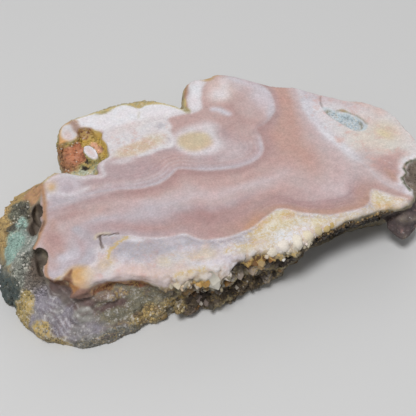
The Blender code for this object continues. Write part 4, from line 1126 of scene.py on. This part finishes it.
# ---- materials ----
class Graph:
    """Short calls for building a material's nodes."""

    def __init__(self, name):
        self.material = bpy.data.materials.new(name)
        self.material.use_nodes = True
        self.nodes = self.material.node_tree.nodes
        self.shader = self.nodes["Principled BSDF"]
        self.where = self.node("TexCoord").outputs["Object"]

    def feed(self, node, inputs):
        """Links or sets a node's inputs, each given by its name or number."""
        for name, value in inputs:
            if isinstance(value, bpy.types.NodeSocket):
                self.material.node_tree.links.new(value, node.inputs[name])
            else:
                node.inputs[name].default_value = value

    def node(self, kind, inputs=(), **settings):
        node = self.nodes.new("ShaderNode" + kind)
        for name, value in settings.items():
            setattr(node, name, value)
        self.feed(node, inputs)
        return node

    def attribute(self, name, output="Fac"):
        return self.node("Attribute", attribute_name=name).outputs[output]

    def math(self, operation, *values):
        return self.node("Math", enumerate(values), operation=operation).outputs[0]

    def noise(self, size, detail=2, rough=0.5):
        """Noise whose lumps are about size millimetres, from 0 to 1."""
        inputs = ("Vector", self.where), ("Scale", 1 / (size * MM)), ("Detail", detail), ("Roughness", rough)
        return self.node("TexNoise", inputs).outputs["Fac"]

    def centred(self, value, strength):
        """1 plus strength times a 0-to-1 value's distance from its middle."""
        return self.math("MULTIPLY_ADD", self.math("SUBTRACT", value, 0.5), strength, 1)

    def tint(self, factor):
        """The mesh's own colour, brightened by a factor."""
        inputs = (0, self.attribute("tint", "Color")), ("Scale", factor)
        return self.node("VectorMath", inputs, operation="SCALE").outputs[0]

    def over(self, base, colour, share):
        """A colour laid over another by a share."""
        inputs = ("Factor", share), (6, base), (7, (*linear(colour), 1))
        return self.node("Mix", inputs, data_type="RGBA").outputs[2]

    def clamped(self, value):
        return self.node("Clamp", [("Value", value)]).outputs[0]

    def scattered(self, amount, size, sharp, strength):
        """Patches of noise that cover more of the surface as amount goes from 0 to 1."""
        edge = self.math("MULTIPLY_ADD", amount, -0.5, 0.76)
        share = self.math("MULTIPLY", self.math("SUBTRACT", self.noise(size, 5, 0.62), edge), sharp)
        return self.math("MULTIPLY", self.clamped(share), strength)

    def veined(self, amount, size, strength):
        """Veins that widen as amount goes from 0 to 1."""
        middle = self.math("ABSOLUTE", self.math("SUBTRACT", self.noise(size, 5, 0.6), 0.5))
        share = self.math("SUBTRACT", self.math("MULTIPLY", amount, 0.14), middle)
        return self.math("MULTIPLY", self.clamped(self.math("MULTIPLY", share, 22)), strength)

    def finish(self, colour, rough, height, distance, strength):
        """Sets the shader's colour, roughness and bump, and returns the material."""
        inputs = ("Height", height), ("Strength", strength), ("Distance", distance * MM)
        normal = self.node("Bump", inputs).outputs["Normal"]
        self.feed(self.shader, (("Base Color", colour), ("Roughness", rough), ("Normal", normal)))
        return self.material


STAIN_COLOUR = (198, 168, 100)
BLOOM_COLOUR = (205, 160, 150)
FROST_COLOUR = (228, 224, 222)
SOOT_COLOUR = (66, 50, 38)
# What the noise scatters on the stone: kind of marking, colour, size, sharpness, strength.
SCATTERED = (
    ("bloom", BLOOM_COLOUR, 2.6, 5, 0.6),
    ("frost", FROST_COLOUR, 1.5, 6, 0.55),
    ("frost", FROST_COLOUR, 0.55, 7, 0.35),
    ("soot", SOOT_COLOUR, 1.4, 8, 0.5),
    ("soot", SOOT_COLOUR, 0.6, 8, 0.35),
)


def stone_material():
    graph = Graph("banded_amethyst")
    skin = graph.attribute("skin")
    grain = graph.centred(graph.noise(0.6, 4, 0.7), graph.math("MULTIPLY_ADD", skin, -0.4, 0.8))
    colour = graph.tint(graph.math("MULTIPLY", grain, graph.centred(graph.noise(2.2, 4, 0.6), 0.3)))
    for kind, layer, size, sharp, strength in SCATTERED:
        colour = graph.over(colour, layer, graph.scattered(graph.attribute(kind), size, sharp, strength))
    stain = graph.attribute("stain")
    colour = graph.over(colour, STAIN_COLOUR, graph.veined(stain, 2.4, 0.65))
    patches = graph.scattered(graph.math("MULTIPLY", stain, 0.7), 1.8, 7, 0.7)
    colour = graph.over(colour, STAIN_COLOUR, patches)
    rough = graph.math("MULTIPLY_ADD", graph.noise(0.9), 0.14, graph.math("MULTIPLY_ADD", skin, 0.36, 0.3))
    relief = graph.math("MULTIPLY_ADD", skin, 0.6, 0.02)
    return graph.finish(colour, rough, graph.noise(0.5, 4, 0.6), 0.3, relief)


def quartz_material():
    graph = Graph("drusy_quartz")
    stain = graph.scattered(graph.attribute("stain"), 1.4, 7, 0.7)
    colour = graph.over(graph.tint(graph.centred(graph.noise(0.9, 3), 0.3)), STAIN_COLOUR, stain)
    rough = graph.math("MULTIPLY_ADD", graph.noise(0.6), 0.2, 0.16)
    return graph.finish(colour, rough, graph.noise(0.4), 0.05, 0.3)


def crust_material():
    graph = Graph("mineral_crust")
    colour = graph.tint(graph.centred(graph.noise(0.5, 3), 0.4))
    rough = graph.math("MULTIPLY_ADD", graph.noise(0.6), 0.2, 0.68)
    return graph.finish(colour, rough, graph.noise(0.3, 3), 0.1, 0.5)


# ---- quartz points, pebbles and crust ----
# Rows of quartz points under the lip: span of X, spacing, height and its spread, radius, length, how
# far they tip down in degrees, colours.
MILKY = ((206, 202, 196), (204, 192, 170), (196, 168, 116), (198, 184, 166))
DULL = ((136, 122, 104), (104, 88, 70), (128, 96, 54), (66, 54, 42))
WALL_POINTS = ((88, 76, 58), (66, 54, 40), (104, 86, 58), (52, 42, 32))
POINT_ROWS = (
    ((-19, -2), 2.8, (17.6, 1.2), (1, 1.7), (2.8, 4), 44, MILKY),
    ((8, 14), 2.2, (17.2, 1.4), (1, 1.8), (3, 4.2), 40, ((150, 112, 66), (120, 86, 50), (176, 150, 108))),
    ((-18, 12), 2.8, (14, 1.6), (1, 1.9), (2.6, 3.8), 36, DULL),
    ((-16, 20), 2.6, (10, 2.2), (0.9, 1.7), (2.2, 3.4), 30, DULL),
    ((13, 31), 2.4, (18.6, 1.2), (0.8, 1.5), (2.4, 3.4), 42, MILKY),
    ((13, 30), 2.2, (15.6, 1.6), (0.7, 1.3), (2.2, 3.2), 40, WALL_POINTS),
    # These four rows crowd under the right overhang: amber-brown points, darkened row by row downwards as
    # painted shade of the recess.
    ((30, 57), 0.9, (19.4, 0.9), (0.4, 0.8), (2.4, 4.2), 58, ((158, 130, 82), (104, 80, 46), (76, 57, 33))),
    ((31, 55), 0.8, (17, 1.4), (0.4, 0.9), (2.4, 4.2), 52, ((70, 51, 28), (48, 35, 20), (92, 69, 37))),
    ((33, 55), 0.9, (13.6, 1.8), (0.6, 1.2), (4.2, 6.4), 26, ((50, 37, 21), (35, 26, 17), (64, 48, 28))),
    ((36, 54), 1.1, (9.6, 1.8), (0.7, 1.4), (4.4, 6.6), 16, ((38, 29, 18), (29, 22, 14), (52, 41, 26))),
)
# The largest points, one by one: a place on the skin, direction, radius, length, colour.
LARGE_POINTS = (
    ((-6.6, -24.8, 18.4), (0.24, -0.7, -0.6), 2.5, 6.6, (212, 206, 192)),
    ((-8.4, -24.6, 18.6), (0.05, -0.8, -0.6), 1.5, 3.6, (176, 134, 72)),
    ((-11.2, -24, 18.6), (0.1, -0.8, -0.6), 1.3, 3.4, (186, 150, 92)),
    ((-13.6, -22.8, 17.6), (0.15, -0.8, -0.6), 1.6, 4, (204, 192, 174)),
    ((-16.4, -22.2, 17.6), (-0.2, -0.85, -0.5), 1.5, 3.6, (196, 174, 146)),
    ((-19, -21, 16.4), (-0.3, -0.85, -0.4), 1.6, 3.6, (188, 168, 138)),
    ((-1.6, -24.2, 17), (0.2, -0.8, -0.6), 1.9, 4.4, (214, 204, 194)),
    ((6, -22.6, 14.8), (-0.2, -0.8, -0.5), 2, 4.4, (150, 134, 118)),
    ((10, -23, 17), (0.2, -0.85, -0.5), 2, 4.6, (164, 132, 88)),
    ((3.4, -22.4, 11.6), (-0.1, -0.85, -0.4), 1.6, 3.8, (160, 146, 134)),
    ((21.6, -22.8, 19), (0.1, -0.85, -0.4), 2, 3.8, (208, 200, 184)),
    ((26, -22, 19.2), (0.1, -0.85, -0.4), 1.6, 3.4, (206, 196, 174)),
)
# Pale beads of the front edge and rounded lumps low on the front: place on the skin, radius, colour.
PEBBLES = (
    ((-9.2, -21.6, 5.7), 2.2, (126, 112, 106)), ((-12.8, -22.4, 3.4), 2.1, (118, 102, 90)),
    ((-7.6, -22.6, 3.6), 1.7, (132, 118, 110)), ((-15.6, -21.6, 2.6), 1.6, (112, 100, 78)),
    ((-4.4, -22.4, 4.4), 1.4, (98, 86, 72)), ((-20.4, -20.8, 1.8), 1.4, (126, 104, 66)),
    ((14, -23.4, 20.4), 1.9, (222, 212, 196)), ((18, -23.4, 20.4), 2.4, (230, 221, 210)),
    ((22.4, -22.8, 20.6), 2.2, (230, 221, 206)), ((26.4, -22.2, 20.6), 2.3, (226, 214, 190)),
    ((30.2, -21.4, 20.8), 1.6, (204, 188, 152)), ((33, -20.7, 20.7), 1.5, (198, 174, 122)),
    ((35.2, -20.4, 20.6), 1.3, (192, 164, 106)),
)
POINT_SEED = 11
# Shares of a point's radius: its foot, its pyramid's height, and how uneven its sides, shoulder and tip
# are.
FOOT, PYRAMID = 0.95, 0.95
SIDES, SHOULDER, LEAN = (0.8, 1.12), 0.3, 0.22
# How bright points are from one to another, and brightness and stain from each one's foot to its tip.
SHADES = (0.84, 1.06)
FOOT_TO_TIP = ((0.7, 1), (1, 0.5), (1.06, 0.3))
WORN_EDGE = 0.4
# How unevenly the points of a row stand: shares of the spacing, degrees of tilt, and sway sideways.
JITTER, TILT_SPREAD, SWAY = 0.4, 14, 0.5
# How far points stand back into the stone, as shares of their length along themselves and the normal.
ROW_SUNK, LARGE_SUNK = (0.4, 0.35), (0.35, 0.3)


def quartz_point(bm, layers, base, direction, radius, length, rng, colour, stain):
    """A six-sided prism with a pyramid for its tip, each face a little uneven as in nature."""
    turn = Matrix.Rotation(rng.uniform(0, math.pi / 3), 3, "Z")
    facing = direction.to_track_quat("Z", "Y").to_matrix() @ turn
    uneven = [rng.uniform(*SIDES) for _ in range(6)]
    rings = []
    for share, height in ((FOOT, 0), (1, length - PYRAMID * radius)):
        ring = []
        for k, side in enumerate(uneven):
            angle = k * math.pi / 3
            lift = SHOULDER * radius * (rng.random() - 0.5) if height else 0
            across = share * side * radius
            corner = Vector((across * math.cos(angle), across * math.sin(angle), height + lift))
            ring.append(bm.verts.new(base + facing @ corner))
        rings.append(ring)
    lean = Vector((LEAN * radius * rng.uniform(-1, 1), LEAN * radius * rng.uniform(-1, 1), length))
    tip = bm.verts.new(base + facing @ lean)
    lower, upper = rings
    bm.faces.new(lower[::-1])
    for k in range(6):
        j = (k + 1) % 6
        bm.faces.new((lower[k], lower[j], upper[j], upper[k]))
        bm.faces.new((upper[k], upper[j], tip))
    shade = rng.uniform(*SHADES)
    for verts, (level, amount) in zip((lower, upper, [tip]), FOOT_TO_TIP):
        for vert in verts:
            vert[layers[0]] = (*linear(np.array(colour) * (level * shade)), 1)
            vert[layers[1]] = amount * stain


def sunk(surface, row, outward, length, shares):
    """The foot of a quartz point that leaves the stone at one of the surface's points."""
    slope = Vector(surface.normals[row])
    return Vector(surface.points[row]) - outward * (shares[0] * length) - slope * (shares[1] * length)


def grown_points(surface):
    """The quartz points that crowd under the front lip."""
    rng = random.Random(POINT_SEED)
    bm = bmesh.new()
    layers = bm.verts.layers.float_color.new("tint"), bm.verts.layers.float.new("stain")
    front = np.flatnonzero((surface.points[:, 1] < 0) & (surface.skin_share > 0.5))
    for (start, end), spacing, (height, spread), radii, lengths, tilt, colours in POINT_ROWS:
        for place in np.arange(start, end, spacing):
            x = place + rng.uniform(-JITTER, JITTER) * spacing
            z = height + rng.uniform(-spread, spread)
            radius, length = rng.uniform(*radii), rng.uniform(*lengths)
            down = math.radians(tilt + rng.uniform(-TILT_SPREAD, TILT_SPREAD))
            sway = rng.uniform(-SWAY, SWAY)
            apart = np.hypot(surface.points[front, 0] - x, surface.points[front, 2] - z)
            row = front[int(np.argmin(apart))]
            outward = Vector(surface.normals[row]) + Vector((sway, -math.cos(down), -math.sin(down)))
            outward.normalize()
            base = sunk(surface, row, outward, length, ROW_SUNK)
            colour, stain = rng.choice(colours), rng.uniform(0.1, 0.8)
            quartz_point(bm, layers, base, outward, radius, length, rng, colour, stain)
    for place, direction, radius, length, colour in LARGE_POINTS:
        outward = Vector(direction).normalized()
        base = sunk(surface, nearest_row(surface, place), outward, length, LARGE_SUNK)
        quartz_point(bm, layers, base, outward, radius, length, rng, colour, 0.3)
    for vert in bm.verts:
        vert.co = (vert.co - Vector(MIDDLE)) * MM
    bmesh.ops.recalc_face_normals(bm, faces=bm.faces)
    mesh = bpy.data.meshes.new("quartz_points")
    bm.to_mesh(mesh)
    bm.free()
    piece = placed("quartz_points", mesh)
    soften = piece.modifiers.new("worn_edges", "BEVEL")
    soften.width = WORN_EDGE * MM
    soften.segments = 2
    soften.limit_method = "NONE"
    return piece


def round_template(detail):
    """Unit points and triangles of a ball."""
    bm = bmesh.new()
    bmesh.ops.create_icosphere(bm, subdivisions=detail, radius=1)
    points = np.array([vert.co[:] for vert in bm.verts])
    faces = np.array([[vert.index for vert in face.verts] for face in bm.faces])
    bm.free()
    return points, faces


# How far lumps are squashed or drawn out, and how far they keep from the cut and the floor.
SQUASH, MARGIN = (0.7, 1.3), 0.02


def grains(name, places, radii, colours, detail, rng, dent, smooth=False):
    """One mesh of many uneven rounded lumps, whose points are dented by up to a share of the radius."""
    template, faces = round_template(detail)
    count, size = len(places), len(template)
    dents = rng.uniform(1 - dent, 1 + dent, (count, size, 1))
    shape = template[None] * rng.uniform(*SQUASH, (count, 1, 3)) * dents
    points = places[:, None] + shape * radii[:, None, None]
    points[..., 2] = np.clip(points[..., 2], MARGIN, THICKNESS - MARGIN)
    mesh = bpy.data.meshes.new(name)
    points = (points.reshape(-1, 3) - MIDDLE) * MM
    triangles = (faces[None] + size * np.arange(count)[:, None, None]).reshape(-1, 3)
    mesh.from_pydata(points.tolist(), [], triangles.tolist())
    add_colour(mesh, "tint", np.repeat(colours, size, axis=0))
    mesh.polygons.foreach_set("use_smooth", [smooth] * len(mesh.polygons))
    return placed(name, mesh)


# Where loose grains crust the skin: middle, half sizes, grains, radii, spread of brightness, and how many
# of them are pale.
CRUSTS = (
    ((-56, 24, 15), (7, 13, 8), 420, (0.2, 0.45), 0.22, 0.02),
    ((-52.8, 24, 17.6), (3.6, 5.6, 3.4), 240, (0.25, 0.5), 0.35, 0.08),
    ((-56, 13, 16.6), (6, 7, 5), 900, (0.16, 0.42), 0.1, 0.04),
    ((-56, 0.6, 14.6), (5.4, 8, 5.4), 520, (0.3, 0.65), 0.26, 0.03),
    ((-63, 4, 7), (4, 9, 7), 90, (0.3, 0.6), 0.2, 0),
    ((-60.8, -5, 6), (2.4, 5, 6), 120, (0.2, 0.45), 0.14, 0.06),
    ((-55.6, -15, 3.4), (4.4, 4.6, 3.4), 120, (0.2, 0.45), 0.14, 0.06),
    ((-40, -21.4, 2), (13, 4, 3), 160, (0.2, 0.4), 0.16, 0.08),
    ((-24, -20.4, 5.4), (8, 3.6, 4), 240, (0.25, 0.6), 0.22, 0.06),
    ((0, -22, 6), (17, 4, 5.5), 260, (0.3, 0.9), 0.3, 0.04),
    ((24, -22, 14), (14, 4, 6), 160, (0.3, 0.7), 0.3, 0.04),
    ((-8, 56, 19.6), (20, 5, 2.3), 260, (0.2, 0.4), 0.15, 0.1),
    ((-29, 39, 18.8), (12, 13, 3), 460, (0.2, 0.45), 0.22, 0.03),
    ((71, -12, 20.6), (8, 9, 1.3), 60, (0.2, 0.4), 0.25, 0),
    ((61, 21, 20), (6, 9, 2.6), 180, (0.18, 0.38), 0.05, 0.3),
)
PALE_GRAIN, PALENESS = np.array((214, 208, 198)), 0.7
CRUST_SEED = 5
# How deep grains and pebbles sit in the skin, as shares of their radius.
GRAIN_SUNK, PEBBLE_SUNK = 0.15, 0.62


def crust_grains(surface):
    """Grains strewn over the crusted parts of the skin, each with the colour of what it lies on."""
    rng = np.random.default_rng(CRUST_SEED)
    places, radii, colours = [], [], []
    for centre, half, count, (small, large), spread, pale in CRUSTS:
        inside = ball_mask(surface.points, centre, half, 0.15) * (surface.skin_share > 0.6)
        for scoop in SMOOTH_SCOOPS:
            inside *= 1 - ball_mask(surface.points, *scoop, 0.1)
        rows = rng.choice(len(inside), count, p=inside / inside.sum())
        size = rng.uniform(small, large, count)
        # Each grain takes the colour beneath it, painted shade and shadow included.
        tint = surface.colour[rows] * (1 + spread * rng.uniform(-1, 0.8, (count, 1)))
        tint = np.where(rng.random((count, 1)) < pale, tint + (PALE_GRAIN - tint) * PALENESS, tint)
        places.append(surface.points[rows] - surface.normals[rows] * (GRAIN_SUNK * size[:, None]))
        radii.append(size)
        colours.append(tint)
    return grains("mineral_crust", np.vstack(places), np.concatenate(radii), np.vstack(colours), 1, rng, 0.2)


def pebbles(surface):
    """The beads and lumps, each sunk a little into the skin."""
    rng = np.random.default_rng(CRUST_SEED)
    places, radii, colours = zip(*PEBBLES)
    rows, radii = [nearest_row(surface, place) for place in places], np.array(radii)
    places = surface.points[rows] - surface.normals[rows] * (PEBBLE_SUNK * radii[:, None])
    return grains("chalcedony_pebbles", places, radii, np.array(colours, float), 3, rng, 0.1, smooth=True)


# ---- floor, lights and camera ----
LENS, SENSOR = 90, 36
ELEVATION, AZIMUTH, DISTANCE = 47, -22, 325
TARGET = (2, 0, 22)
# In metres: name, place, size; and its power in watts.
LIGHTS = (("key", (-0.3, -0.32, 1.05), 0.3, 8.6), ("rim", (0.5, 0.8, 0.6), 0.8, 1.6))
WORLD_STRENGTH = 0.32
FLOOR_GREY = 0.62
FLOOR_HALF = 3


def add_camera():
    elevation, azimuth = math.radians(ELEVATION), math.radians(AZIMUTH)
    level = math.cos(elevation)
    back = Vector((math.sin(azimuth) * level, -math.cos(azimuth) * level, math.sin(elevation)))
    data = bpy.data.cameras.new("camera")
    data.lens = LENS
    data.sensor_width = SENSOR
    data.clip_start = 0.01
    camera = placed("camera", data)
    camera.location = Vector(np.subtract(TARGET, MIDDLE)) * MM + back * DISTANCE * MM
    camera.rotation_euler = back.to_track_quat("Z", "Y").to_euler()
    bpy.context.scene.camera = camera


def add_stage():
    """The floor, the even light from all round, and the soft square lights aimed at the stone."""
    mesh = bpy.data.meshes.new("floor")
    corners = [(x * FLOOR_HALF, y * FLOOR_HALF, 0) for x, y in ((-1, -1), (1, -1), (1, 1), (-1, 1))]
    mesh.from_pydata(corners, [], [(0, 1, 2, 3)])
    floor = placed("floor", mesh)
    graph = Graph("pale_floor")
    graph.feed(graph.shader, (("Base Color", (FLOOR_GREY, FLOOR_GREY, FLOOR_GREY, 1)), ("Roughness", 0.9)))
    mesh.materials.append(graph.material)
    world = bpy.data.worlds.new("studio")
    world.use_nodes = True
    background = world.node_tree.nodes["Background"].inputs
    background["Color"].default_value = (1, 1, 1, 1)
    background["Strength"].default_value = WORLD_STRENGTH
    bpy.context.scene.world = world
    for name, place, size, power in LIGHTS:
        data = bpy.data.lights.new(name, "AREA")
        data.size = size
        data.energy = power
        light = placed(name, data)
        light.location = place
        light.rotation_euler = Vector(place).to_track_quat("Z", "Y").to_euler()
    bpy.context.scene.view_settings.view_transform = "Standard"


def finish_piece(piece, material):
    piece.data.materials.clear()
    piece.data.materials.append(material)
    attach(piece, "root")


def main():
    add_camera()
    add_stage()
    stone, surface = shaped_stone()
    finish_piece(stone, stone_material())
    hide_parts("amethyst_slice")
    finish_piece(grown_points(surface), quartz_material())
    crust = crust_material()
    finish_piece(crust_grains(surface), crust)
    finish_piece(pebbles(surface), crust)


main()
